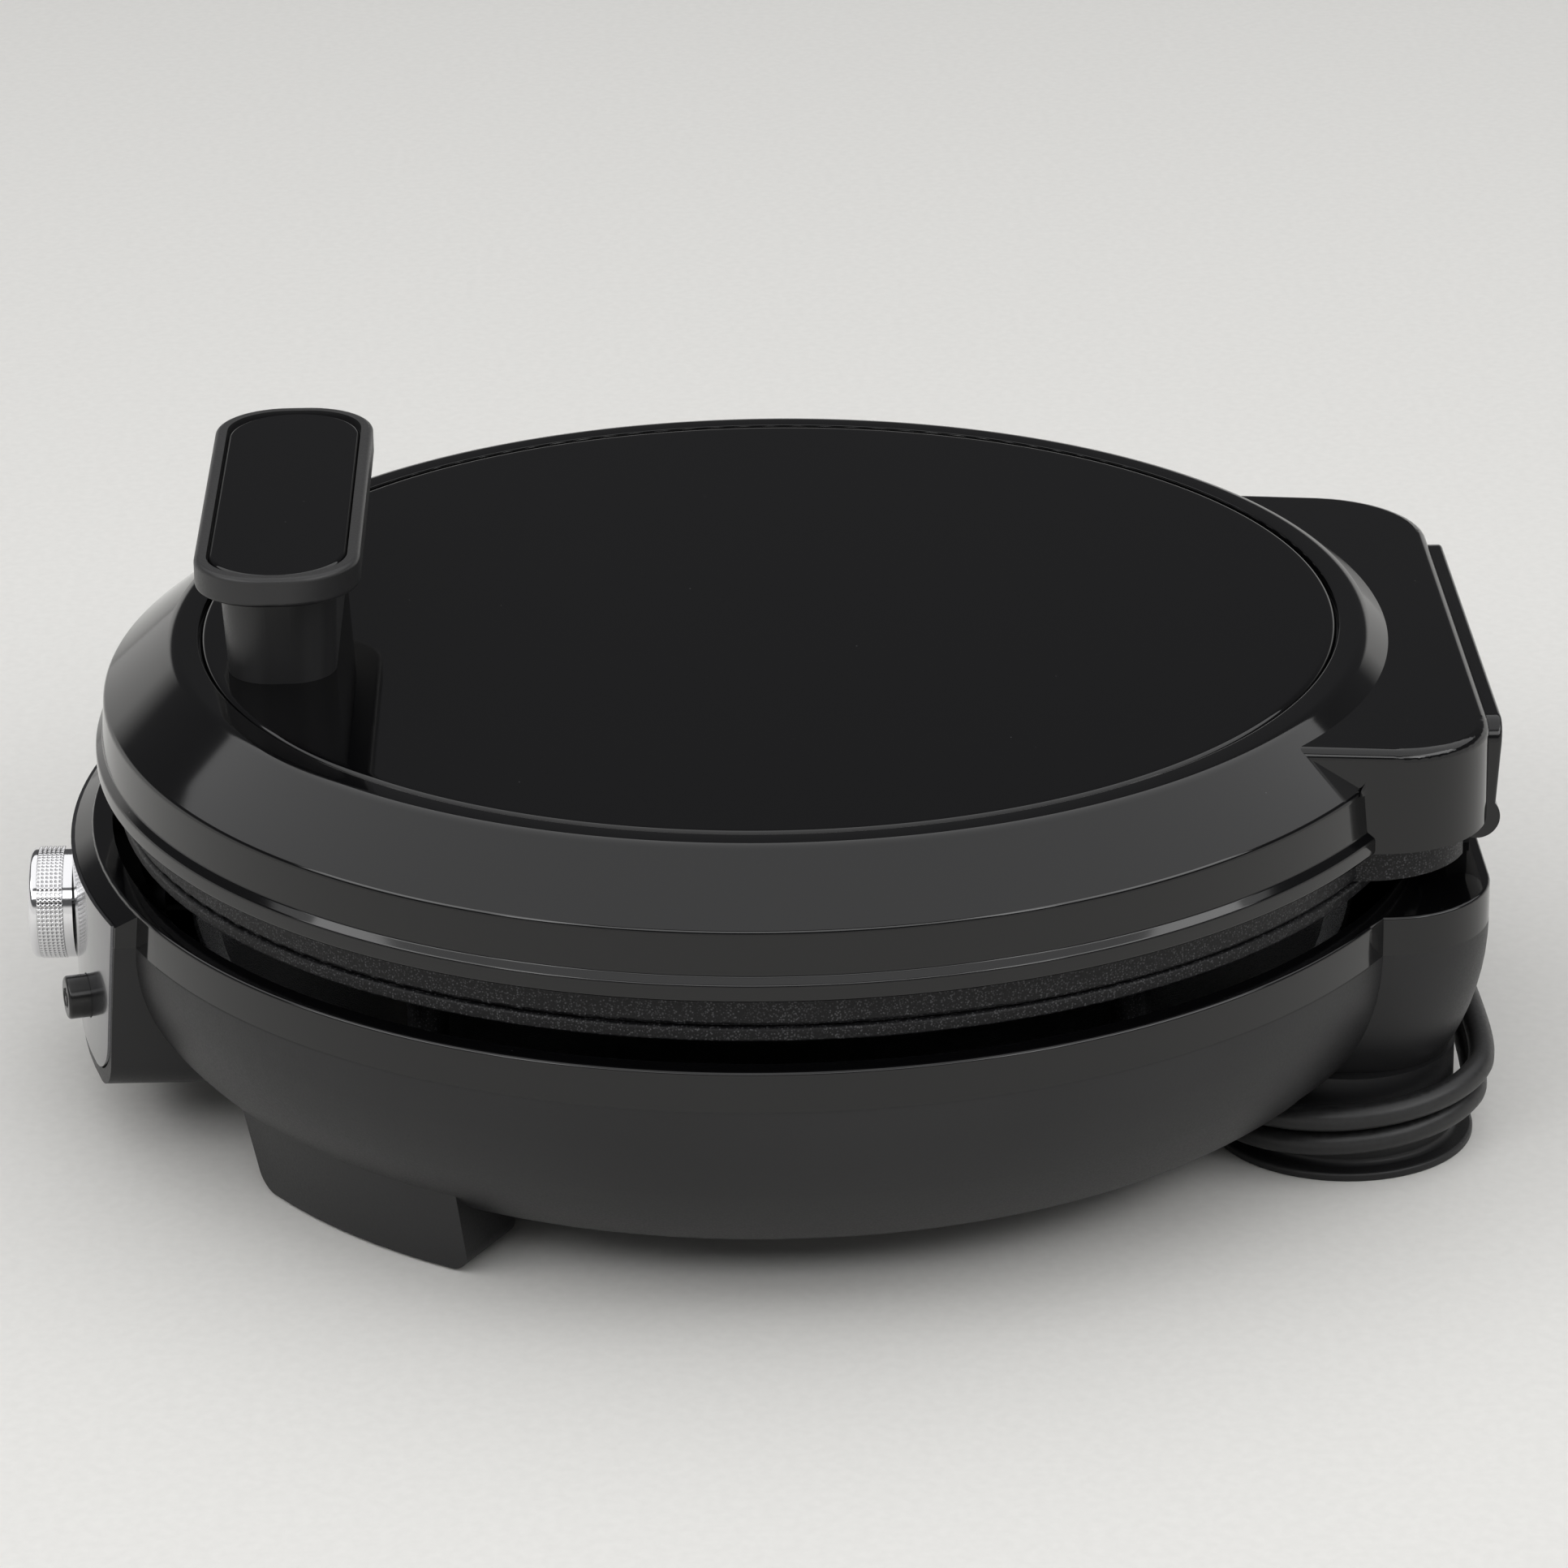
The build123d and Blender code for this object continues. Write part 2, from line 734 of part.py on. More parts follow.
def reflector(near_level, away):
    """Thin dish with its rim turned towards the element, clamped at the plate bosses."""
    t = reflector_thickness
    far_level = near_level + away * t
    points = (
        (0, near_level),
        (reflector_radius, near_level),
        (reflector_rim_radius, near_level - away * reflector_rim_height),
        (reflector_rim_radius + t, near_level - away * (reflector_rim_height - t)),
        (reflector_radius + t, far_level),
        (0, far_level),
    )
    dish = turned(outline(*points))
    low = min(near_level, far_level) - overshoot
    high = max(near_level, far_level) + overshoot
    for x, y in boss_places():
        dish = dish - upright(screw_radius + screw_fit, low, high, x, y)
    for x, y in terminal_places():
        dish = dish - upright(terminal_radius + terminal_clearance, low, high, x, y)
    return dish


def plate_screw(head_level, tip_level, x, y):
    """Pan head screw, its head lying on the head level towards the tip."""
    away = 1 if tip_level > head_level else -1
    head_low, head_high = sorted((head_level, head_level + away * screw_head_height))
    low, high = sorted((head_level, tip_level))
    return upright(screw_head_radius, head_low, head_high, x, y) + upright(screw_radius, low, high, x, y)


def base_screws():
    """Four screws that draw the lower plate and its reflector down onto the posts."""
    tip = lower_floor_level - 2 * plate_thickness - screw_stop
    return [plate_screw(bowl_bottom_level, tip, x, y) for x, y in boss_places()]


def upper_plate_screws():
    """Four screws through the lid's posts into the upper plate, under the disc."""
    tip = upper_ceiling_level + 2 * plate_thickness + screw_stop
    return [plate_screw(disc_seat_level, tip, x, y) for x, y in boss_places()]


def lid_cover():
    """Round cover: lip, upright band, sloped shoulder and flat top."""
    points = (
        (0, lid_lip_level),
        (lid_lip_radius, lid_lip_level),
        (lid_lip_radius, lid_lip_level + lid_lip_height),
        (lid_band_bottom_radius, lid_band_bottom_level),
        (lid_band_top_radius, lid_band_top_level),
        (lid_shoulder_top_radius, lid_top_level),
        (0, lid_top_level),
    )
    radii = (
        0,
        lid_mouth_rounding,
        lid_edge_rounding,
        lid_mouth_rounding,
        lid_band_rounding,
        lid_shoulder_rounding,
        0,
    )
    return turned(rounded_outline(points, radii))


def lid_hollow():
    """Room inside the round cover."""
    w = lid_wall
    points = (
        (0, lid_lip_level - overshoot),
        (lid_lip_radius - w, lid_lip_level - overshoot),
        (lid_lip_radius - w, lid_lip_level + lid_lip_height - w / 2),
        (lid_band_bottom_radius - w, lid_band_bottom_level - w / 2),
        (lid_band_top_radius - w, lid_band_top_level - w / 2),
        (lid_shoulder_top_radius - w, lid_ceiling_level),
        (0, lid_ceiling_level),
    )
    return turned(outline(*points))


def lid_block(inset):
    """Rear block of the lid, its top falling towards the hinge."""
    bottom = lid_lip_level - (overshoot if inset else 0)
    half_width = lid_block_half_width - inset
    reach = lid_block_reach - inset
    start = lid_block_reach - lid_block_slope_run
    side = outline(
        (0, bottom),
        (lid_block_reach, bottom),
        (lid_block_reach, lid_block_rear_level - inset),
        (start, lid_block_level - inset),
        (0, lid_block_level - inset),
    )
    wedge = Pos(-half_width - overshoot, 0, 0) * extrude(Plane.YZ * side, 2 * (half_width + overshoot))
    block = rear_prism(half_width, reach, lid_block_corner - inset, bottom, lid_top_level) & wedge
    if inset == 0:
        top_edges = block.edges().filter_by(lambda edge: edge.center().Z > lid_block_rear_level - overshoot)
        outer_edges = top_edges.filter_by(lambda edge: edge.center().Y > start + overshoot)
        block = fillet(outer_edges, lid_block_edge_rounding)
    return block


def leaf_screw_places():
    """Places of the screws that hold the lid leaf, as X and level."""
    level = (leaf_notch_level + leaf_top_level) / 2 + leaf_screw_rise
    return [(x, level) for x in leaf_screw_offsets]


def handle_screw_places():
    """Places of the two screws that hold the handle."""
    return [(-handle_screw_offset, -handle_reach), (handle_screw_offset, -handle_reach)]


def lid_shell():
    """Moulded lid with the disc seat, posts for the upper plate and room for the hinge."""
    body = lid_cover() + lid_block(0) - lid_hollow() - lid_block(lid_wall)
    body = body - upright(disc_radius + disc_gap, disc_seat_level, lid_top_level + overshoot)
    post_foot = upper_reflector_level + reflector_thickness
    head_seat = disc_seat_level - screw_head_height
    for x, y in boss_places():
        body = body + upright(boss_radius, post_foot, disc_seat_level - lid_wall / 2, x, y)
    for x, y in boss_places():
        body = body - upright(screw_radius + screw_fit, post_foot - overshoot, head_seat, x, y)
        body = body - upright(screw_head_radius + screw_fit, head_seat, disc_seat_level + overshoot, x, y)
    hole = handle_screw_radius + screw_fit
    for x, y in handle_screw_places():
        body = body - upright(hole, lid_ceiling_level - overshoot, lid_top_level, x, y)
    room = hinge_barrel_radius + hinge_clearance
    body = body - slab(
        -leaf_half_width - hinge_clearance,
        leaf_half_width + hinge_clearance,
        hinge_axis_reach - room,
        hinge_leaf_reach,
        hinge_axis_level - room,
        hinge_axis_level + room,
    )
    for x, z in leaf_screw_places():
        start = lid_block_reach - 2 * lid_wall
        body = body - rearward(leaf_screw_radius + screw_fit, start, hinge_leaf_reach, x, z)
    return body


def lid_disc():
    """Flat gloss disc that fills the top of the lid."""
    disc = upright(disc_radius, disc_seat_level, lid_top_level)
    disc = fillet(disc.edges().group_by(Axis.Z)[-1], disc_edge_rounding)
    hole = handle_screw_radius + screw_fit
    for x, y in handle_screw_places():
        disc = disc - upright(hole, disc_seat_level - overshoot, lid_top_level + overshoot, x, y)
    return disc


def leaf_blank():
    """Plate of the lid leaf before its knuckles: leaning outer face and rounded upper corners."""
    side = outline(
        (lid_block_reach, hinge_axis_level),
        (hinge_leaf_reach - leaf_lean, hinge_axis_level),
        (hinge_leaf_reach, leaf_top_level),
        (lid_block_reach, leaf_top_level),
    )
    plate = Pos(-leaf_half_width, 0, 0) * extrude(Plane.YZ * side, 2 * leaf_half_width)
    plate = fillet(plate.edges().filter_by(Axis.Y).group_by(Axis.Z)[-1], leaf_corner)
    top_edges = plate.edges().filter_by(Axis.X).group_by(Axis.Z)[-1]
    return fillet(top_edges.group_by(Axis.Y)[-1], leaf_edge_rounding)


def lid_hinge_leaf():
    """Leaf on the back of the lid: a plate with three knuckles along its lower edge."""
    leaf = leaf_blank()
    past = hinge_leaf_reach + overshoot
    for side in (-1, 1):
        x0, x1 = sorted((side * centre_knuckle_half_width, side * outer_knuckle_start))
        leaf = leaf - slab(x0, x1, 0, past, hinge_axis_level - overshoot, leaf_notch_level)
    spans = (
        (-leaf_half_width, -outer_knuckle_start),
        (-centre_knuckle_half_width, centre_knuckle_half_width),
        (outer_knuckle_start, leaf_half_width),
    )
    for start, end in spans:
        leaf = leaf + sideways(hinge_barrel_radius, start, end, hinge_axis_reach, hinge_axis_level)
    bore = hinge_pin_radius + hinge_running_fit
    end = leaf_half_width + overshoot
    leaf = leaf - sideways(bore, -end, end, hinge_axis_reach, hinge_axis_level)
    for x, z in leaf_screw_places():
        leaf = leaf - rearward(leaf_screw_radius + screw_fit, lid_block_reach - overshoot, past, x, z)
    return leaf


def lid_leaf_screws():
    """Screws of the lid leaf, with their heads inside the lid."""
    screws = []
    inside = lid_block_reach - lid_wall
    for x, z in leaf_screw_places():
        head = rearward(leaf_screw_head_radius, inside - leaf_screw_head_height, inside, x, z)
        screws.append(head + rearward(leaf_screw_radius, inside, hinge_leaf_reach - leaf_screw_stop, x, z))
    return screws


def base_leaf_screw_places():
    """Places of the screws that come up through the deck into the necks of the base leaf."""
    y = base_leaf_reach - base_leaf_neck_thickness / 2
    return [(x, y) for x in base_leaf_screw_offsets]


def base_hinge_leaf():
    """Leaf on the base: a foot on the deck and two necks that carry the inner knuckles."""
    leaf = slab(
        -base_knuckle_end - base_leaf_margin,
        base_knuckle_end + base_leaf_margin,
        base_leaf_reach - base_leaf_foot_depth,
        base_leaf_reach,
        trim_level,
        trim_level + base_leaf_thickness,
    )
    front = base_leaf_reach - base_leaf_neck_thickness
    for side in (-1, 1):
        x0, x1 = sorted((side * base_knuckle_start, side * base_knuckle_end))
        leaf = leaf + slab(x0, x1, front, base_leaf_reach, trim_level, hinge_axis_level)
        leaf = leaf + sideways(hinge_barrel_radius, x0, x1, hinge_axis_reach, hinge_axis_level)
    bore = hinge_pin_radius + hinge_pin_fit
    leaf = leaf - sideways(bore, -leaf_half_width, leaf_half_width, hinge_axis_reach, hinge_axis_level)
    for x, y in base_leaf_screw_places():
        top = trim_level + base_leaf_screw_grip + overshoot
        leaf = leaf - upright(leaf_screw_radius + screw_fit, trim_level - overshoot, top, x, y)
    return leaf


def base_leaf_screws():
    """Screws of the base leaf, with their heads under the deck."""
    screws = []
    seat = trim_level - trim_deck_thickness
    for x, y in base_leaf_screw_places():
        head = upright(leaf_screw_head_radius, seat - leaf_screw_head_height, seat, x, y)
        screws.append(head + upright(leaf_screw_radius, seat, trim_level + base_leaf_screw_grip, x, y))
    return screws


def hinge_pin():
    """Steel pin through all the knuckles."""
    end = leaf_half_width - knuckle_gap
    return sideways(hinge_pin_radius, -end, end, hinge_axis_reach, hinge_axis_level)


def handle_stem():
    """Tapered stem between the lid disc and the grip."""
    y = -handle_reach - stem_setback
    low = Pos(0, y, lid_top_level) * RectangleRounded(stem_bottom_length, stem_bottom_width, stem_corner)
    high = Pos(0, y, grip_bottom_level) * RectangleRounded(stem_top_length, stem_top_width, stem_corner)
    stem = loft([low, high])
    hole = handle_screw_radius + screw_fit / 2
    top = lid_ceiling_level + handle_screw_length + screw_stop
    for x, y in handle_screw_places():
        stem = stem - upright(hole, lid_top_level - overshoot, top, x, y)
    return stem


def handle_grip():
    """Flat grip with a raised rim round the inlay."""
    blank = extrude(RectangleRounded(grip_length, grip_width, grip_corner), grip_height)
    levels = blank.edges().group_by(Axis.Z)
    blank = fillet(levels[-1] + levels[0], grip_edge_rounding)
    pocket = RectangleRounded(
        grip_length - 2 * inlay_margin,
        grip_width - 2 * inlay_margin,
        grip_corner - inlay_margin,
    )
    seat = Pos(0, -handle_reach, inlay_seat_level) * extrude(pocket, grip_height)
    return Pos(0, -handle_reach, grip_bottom_level) * blank - seat


def handle_inlay():
    """Bare gloss plate in the grip."""
    margin = inlay_margin + inlay_gap
    plan = RectangleRounded(grip_length - 2 * margin, grip_width - 2 * margin, grip_corner - margin)
    plate = Pos(0, -handle_reach, inlay_seat_level) * extrude(plan, inlay_thickness)
    return fillet(plate.edges().group_by(Axis.Z)[-1], inlay_edge_rounding)


def handle_screws():
    """Two screws from inside the lid up into the stem."""
    screws = []
    seat = lid_ceiling_level
    for x, y in handle_screw_places():
        head = upright(handle_screw_head_radius, seat - screw_head_height, seat, x, y)
        screws.append(head + upright(handle_screw_radius, seat, seat + handle_screw_length, x, y))
    return screws


def thermostat_knob():
    """Round knob with a blind bore for the shaft."""
    knob = frontward(knob_radius, knob_back_reach, knob_face_reach, 0, knob_level)
    knob = fillet(knob.edges().group_by(Axis.Y)[0], knob_edge_rounding)
    bore = shaft_radius + knob_bore_fit
    depth = knob_back_reach + knob_bore_depth
    return knob - frontward(bore, knob_back_reach - overshoot, depth, 0, knob_level)


def thermostat_front():
    """Reach of the thermostat's flat front, where it meets the bowed wall."""
    return sqrt(block_inner_radius ** 2 - thermostat_radius ** 2)


def thermostat_shaft():
    """Shaft that turns with the knob, from inside the thermostat to inside the knob."""
    start = thermostat_front() - thermostat_length + thermostat_floor + shaft_end_gap
    end = knob_back_reach + knob_bore_depth - shaft_end_gap
    return frontward(shaft_radius, start, end, 0, knob_level)


def thermostat_body():
    """Round thermostat against the inside of the control block, with two tabs at its back."""
    front = thermostat_front()
    back = front - thermostat_length
    body = frontward(thermostat_radius, back, front, 0, knob_level)
    for side in (-1, 1):
        x = side * tab_offset
        low = knob_level - tab_thickness / 2
        tab = slab(x - tab_width / 2, x + tab_width / 2, -back, tab_length - back, low, low + tab_thickness)
        body = body + tab
    bore = shaft_radius + shaft_fit
    return body - frontward(bore, back + thermostat_floor, front + overshoot, 0, knob_level)


def button_flange_reach():
    """Distance of the button's flange from the plate axis at rest, behind the bowed wall."""
    outer = button_flange_radius + button_clearance
    return sqrt(block_inner_radius ** 2 - outer ** 2) - button_flange_gap


def power_button():
    """Push button with a retaining flange behind the wall."""
    reach = button_flange_reach()
    inner = reach - button_flange_thickness
    top = panel_face_radius + button_height
    cap = radial_cylinder(button_radius, inner, top, button_angle, button_level)
    outwards = radial_plane(button_angle, 0).z_dir
    cap = fillet(cap.edges().sort_by(lambda edge: edge.center().dot(outwards))[-1:], button_edge_rounding)
    return cap + radial_cylinder(button_flange_radius, inner, reach, button_angle, button_level)


def switch_body():
    """Switch with a sleeve that guides the button's flange."""
    floor = button_flange_reach() - button_flange_thickness - button_travel - switch_play
    square = RectangleRounded(switch_width, switch_width, switch_corner)
    place = radial_plane(button_angle, button_level) * Pos(0, 0, floor - switch_length)
    bore = button_flange_radius + button_clearance
    outer = bore + switch_sleeve_wall
    reach = sqrt(block_inner_radius ** 2 - outer ** 2)
    sleeve = radial_cylinder(outer, floor, reach, button_angle, button_level)
    sleeve = sleeve - radial_cylinder(bore, floor, reach + overshoot, button_angle, button_level)
    return place * extrude(square, switch_length) + sleeve


def indicator_lenses():
    """Two small lamps on the panel, on the side away from the button."""
    start = block_inner_radius - lamp_depth
    end = panel_face_radius + lamp_height
    radius = lamp_radius - lamp_fit
    return [radial_cylinder(radius, start, end, angle, button_level) for angle in lamp_angles]


def terminal_block():
    """Connection block on the floor of the housing, with a screw well for each wire."""
    low = bowl_bottom_level + housing_wall
    high = low + terminal_block_height
    half = terminal_block_length / 2
    front = terminal_block_reach - terminal_block_width / 2
    block = slab(-half, half, front, front + terminal_block_width, low, high)
    bottom = high - terminal_well_depth
    for step in (-1, 0, 1):
        x = terminal_well_spacing * step
        block = block - upright(terminal_well_radius, bottom, high + overshoot, x, terminal_block_reach)
    return block


def rear_foot(side):
    """Rear foot: a post with a flange, which the lead is wound round."""
    points = (
        (0, 0),
        (foot_flange_radius, 0),
        (foot_flange_radius, foot_flange_thickness),
        (foot_post_radius, foot_flange_thickness),
        (foot_post_radius, recess_ceiling),
        (0, recess_ceiling),
    )
    radii = (0, foot_flange_thickness / 4, foot_flange_thickness / 3, foot_root_rounding, 0, 0)
    foot = turned(rounded_outline(points, radii))
    foot = foot - upright(foot_screw_radius + screw_fit, -overshoot, recess_ceiling + overshoot)
    foot = foot - upright(screw_head_radius + foot_screw_clearance, -overshoot, foot_screw_recess)
    return Pos(side * foot_offset, foot_reach, 0) * foot


def rear_foot_screws():
    """Screws that hold the rear feet to the housing."""
    screws = []
    seat = foot_screw_recess
    for x in (-foot_offset, foot_offset):
        head = upright(screw_head_radius, seat - foot_screw_head_height, seat, x, foot_reach)
        tip = recess_ceiling + housing_wall + screw_stop
        screws.append(head + upright(foot_screw_radius, seat, tip, x, foot_reach))
    return screws


def shift_run(start, end, tangent):
    """Two arcs that move the lead over between two parallel runs."""
    start = Vector(*start)
    end = Vector(*end)
    first = TangentArc(start, (start + end) * 0.5, tangent=tangent)
    return [first, TangentArc((start + end) * 0.5, end, tangent=first % 1)]


def half_turn(side, radius, front_level, rear_level):
    """Half a turn of lead round one foot, in a plane that tilts between the two levels."""
    x = side * foot_offset
    tilt = (rear_level - front_level) / 2
    front = (x, foot_reach - radius, front_level)
    middle = (x + side * hypot(radius, tilt), foot_reach, front_level + tilt)
    rear = (x, foot_reach + radius, rear_level)
    if side > 0:
        return ThreePointArc(front, middle, rear)
    return ThreePointArc(rear, middle, front)


def winding_path():
    """Centre line of the wound lead: from the strain relief to the right foot, behind to the
    left foot, and once more round the right foot one pitch lower."""
    first, left, second = winding_radii
    high = winding_high
    low = high - winding_pitch
    start_x = relief_start + relief_length
    run_in = (start_x + relief_run, gland_reach, gland_level)
    right_rear = (foot_offset, foot_reach + first, high)
    left_rear = (-foot_offset, foot_reach + left, high)
    left_front = (-foot_offset, foot_reach - left, low - winding_drop)
    edges = [Line((start_x, gland_reach, gland_level), run_in)]
    edges += shift_run(run_in, (foot_offset, foot_reach - first, high - winding_drop), (1, 0, 0))
    edges.append(half_turn(1, first, high - winding_drop, high))
    edges += shift_run(right_rear, left_rear, (-1, 0, 0))
    edges.append(half_turn(-1, left, low - winding_drop, high))
    edges += shift_run(left_front, (foot_offset, foot_reach - second, low - winding_drop), (1, 0, 0))
    edges.append(half_turn(1, second, low - winding_drop, low))
    edges.append(Line((foot_offset, foot_reach + second, low), winding_end()))
    return Wire(edges)


def winding_end():
    """Point where the winding goes over into the free end."""
    return (-foot_offset - relief_run, foot_reach + winding_radii[2], winding_high - winding_pitch)


def cord_tube(path):
    """Round tube along a path."""
    section = Plane(path @ 0, z_dir=path % 0) * Circle(cord_diameter / 2)
    return sweep(section, path=path)


def least_self_gap(path, window):
    """Least distance between two places of the tube that are not neighbours."""
    count = 600
    points = [path @ (i / count) for i in range(count + 1)]
    step = path.length / count
    least = path.length
    for i, point in enumerate(points):
        for other in points[i + int(window / step):]:
            least = min(least, (point - other).length)
    return least - cord_diameter


def tail_points():
    """Route of the free end, from the winding down to the surface and to the plug."""
    x, y, level = winding_end()
    surface = cord_diameter / 2 + surface_gap
    return [
        (x, y, level),
        (x - 30, y, level),
        (x - 62, y - 3, surface + 1.5),
        (x - 94, y - 13, surface),
        (x - 122, y - 29, surface + 0.1),
        (plug_x, y - 53, plug_level),
        (plug_x, y - 81, plug_level),
    ]


def tube_radii(points):
    """Arc radius at each inner point of a route: the arc takes this share of its shorter run."""
    radii = []
    for before, here, after in zip(points, points[1:], points[2:]):
        a = Vector(here) - Vector(before)
        b = Vector(after) - Vector(here)
        turn = radians(a.get_angle(b))
        radii.append(bend_share * min(a.length, b.length) / tan(turn / 2))
    return radii


def tail_path():
    """Centre line of the free end: straight runs joined by tangent arcs."""
    points = tail_points()
    return Wire(FilletPolyline(*points, radius=tube_radii(points)).edges())


def cord_gland():
    """Gland block under the housing, between the rear feet."""
    half = gland_width / 2
    block = slab(
        relief_start - gland_length,
        relief_start,
        gland_reach - half,
        gland_reach + half,
        recess_ceiling - gland_height,
        recess_ceiling,
    )
    return fillet(block.edges().filter_by(Axis.X).group_by(Axis.Z)[0], gland_edge_rounding)


def strain_relief():
    """Tapered sleeve from the gland along the first run of the lead."""
    plane = Plane((relief_start, gland_reach, gland_level), x_dir=(0, 1, 0), z_dir=(1, 0, 0))
    tip = plane * Pos(0, 0, relief_length) * Circle(relief_tip_radius)
    return loft([plane * Circle(relief_root_radius), tip])


def plug_body_front():
    """Y of the plug body's face where the neck comes out."""
    return tail_points()[-1][1] - plug_neck_length


def power_plug():
    """Moulded plug lying on its back, with a tapered neck where the lead enters."""
    front = plug_body_front()
    middle = front - plug_length / 2
    base = Pos(plug_x, middle, 0) * RectangleRounded(plug_width, plug_length, plug_corner)
    top = Pos(plug_x, middle, plug_thickness) * RectangleRounded(
        plug_width - plug_lean,
        plug_length - plug_lean,
        plug_corner - plug_lean / 2,
    )
    root = Plane((plug_x, front - plug_neck_overlap, plug_level), x_dir=(1, 0, 0), z_dir=(0, 1, 0))
    neck = loft([
        root * Circle(plug_neck_root),
        root * Pos(0, 0, plug_neck_overlap + plug_neck_length) * Circle(plug_neck_tip),
    ])
    return loft([base, top]) + neck


def plug_pins():
    """Three flat pins: one longer and larger for earth."""
    middle = plug_body_front() - plug_length / 2
    width, depth, height = earth_pin_size
    y = middle - earth_pin_setback
    top = plug_thickness
    pins = [slab(plug_x - width / 2, plug_x + width / 2, y - depth / 2, y + depth / 2, top, top + height)]
    width, depth, height = live_pin_size
    y = middle + live_pin_setback
    for side in (-1, 1):
        x = plug_x + side * live_pin_offset
        pins.append(slab(x - width / 2, x + width / 2, y - depth / 2, y + depth / 2, top, top + height))
    return pins


def print_tube(name, path, tube):
    """Print a tube's length and how its volume compares with a straight tube's."""
    plain = pi * (cord_diameter / 2) ** 2 * path.length
    print(name, "length", round(path.length, 1), "volume ratio", round(tube.volume / plain, 4))


save(base_housing(), "base_housing")
save(leg_pads(), "leg_pads")
save(base_trim(), "base_trim")
save(panel_form(0) - panel_holes(), "control_panel")
save(lower_plate(), "lower_plate")
save(upper_plate(), "upper_plate")
save(heating_element(lower_floor_level - plate_thickness, lower_reflector_level), "lower_heating_element")
save(
    heating_element(upper_ceiling_level + plate_thickness, upper_reflector_level + reflector_thickness),
    "upper_heating_element",
)
save(reflector(lower_reflector_level + reflector_thickness, -1), "lower_reflector")
save(reflector(upper_reflector_level, 1), "upper_reflector")
save(base_screws(), "base_screws")
save(upper_plate_screws(), "upper_plate_screws")
save(lid_shell(), "lid_shell")
save(lid_disc(), "lid_disc")
save(lid_hinge_leaf(), "lid_hinge_leaf")
save(base_hinge_leaf(), "base_hinge_leaf")
save(hinge_pin(), "hinge_pin")
save(base_leaf_screws(), "base_leaf_screws")
save(lid_leaf_screws(), "lid_leaf_screws")
save(handle_stem(), "handle_stem")
save(handle_grip(), "handle_grip")
save(handle_inlay(), "handle_inlay")
save(handle_screws(), "handle_screws")
save(thermostat_knob(), "thermostat_knob")
save(thermostat_shaft(), "thermostat_shaft")
save(thermostat_body(), "thermostat_body")
save(power_button(), "power_button")
save(switch_body(), "switch_body")
save(indicator_lenses(), "indicator_lenses")
save(terminal_block(), "terminal_block")
save(rear_foot(1), "rear_foot_right")
save(rear_foot(-1), "rear_foot_left")
save(rear_foot_screws(), "rear_foot_screws")
save(cord_gland(), "cord_gland")
save(strain_relief(), "strain_relief")
save(power_plug(), "power_plug")
save(plug_pins(), "plug_pins")

winding_line = winding_path()
winding = cord_tube(winding_line)
save(winding, "cord_winding")
print_tube("winding", winding_line, winding)
print("least gap in the winding", round(least_self_gap(winding_line, 3 * cord_diameter), 2))
tail_line = tail_path()
tail = cord_tube(tail_line)
save(tail, "cord_tail")
print_tube("free end", tail_line, tail)
print("free end radii", [round(radius, 1) for radius in tube_radii(tail_points())])
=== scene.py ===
from math import cos, pi, radians, sin

import bpy
import numpy as np
from mathutils import Matrix, Vector


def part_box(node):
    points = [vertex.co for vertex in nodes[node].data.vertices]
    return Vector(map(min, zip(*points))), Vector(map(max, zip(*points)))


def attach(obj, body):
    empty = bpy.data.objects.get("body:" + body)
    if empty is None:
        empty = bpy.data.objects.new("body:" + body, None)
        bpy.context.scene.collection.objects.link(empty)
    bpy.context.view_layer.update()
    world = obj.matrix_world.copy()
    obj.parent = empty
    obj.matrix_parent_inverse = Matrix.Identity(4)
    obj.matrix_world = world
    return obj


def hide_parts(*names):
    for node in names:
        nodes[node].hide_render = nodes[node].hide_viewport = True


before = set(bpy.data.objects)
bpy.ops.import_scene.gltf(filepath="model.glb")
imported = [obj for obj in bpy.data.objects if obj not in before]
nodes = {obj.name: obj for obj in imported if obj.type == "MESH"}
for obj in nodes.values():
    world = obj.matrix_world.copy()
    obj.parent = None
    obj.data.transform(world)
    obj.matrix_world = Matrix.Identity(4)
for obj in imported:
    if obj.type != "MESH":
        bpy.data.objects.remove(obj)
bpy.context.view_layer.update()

# An electric pizza maker, in metres: +Z up, the knob towards -Y, the hinge towards +Y. The
# round plates and the lid share one upright axis.
MM = 0.001
PLATE_AXIS_Y = 5.7 * MM
PLATE_AXIS = (0, PLATE_AXIS_Y, 0)
UP = (0, 0, 1)
ROUND_SEGMENTS = 720


def box_of(node):
    """Middle and size of a CAD node."""
    low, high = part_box(node)
    return (low + high) / 2, high - low


# Knob and dial. Lengths along the knob are measured from its front, and the shades' limits
# from its radius.
KNOB_MIDDLE, KNOB_SIZE = box_of("thermostat_knob")
KNOB_RADIUS = KNOB_SIZE.x / 2
KNOB_FRONT = -KNOB_SIZE.y / 2
KNOB_FACE_DEPTH = 0.2 * MM
GROOVE_HALF_WIDTH = 0.5 * MM
GROOVE_START = 6.0 * MM
GROOVE_BLUR = 0.1 * MM
KNURL_PITCH = 1.12 * MM
KNURL_START = 2.2 * MM
KNURL_LENGTH = 6.72 * MM
KNURL_PROUD = 0.14 * MM
KNURL_SINK = 0.1 * MM
KNURL_DEPTH = 0.3 * MM
KNURL_CENTRE = KNOB_FRONT + KNURL_START + KNURL_LENGTH / 2
SLEEVE_RISE = 0.25  # of a pitch, at both ends
DIMPLE_STEPS = 8
DIMPLE_WAVE = (0.25, 0.65)
# Painted shade darkens the plating between these two pairs of radii, which lies deep in the
# dimples.
DIMPLE_SHADE = (-0.06 * MM, 0.04 * MM)
PAINTED_SHADE_INNER = (-0.4 * MM, -0.35 * MM)
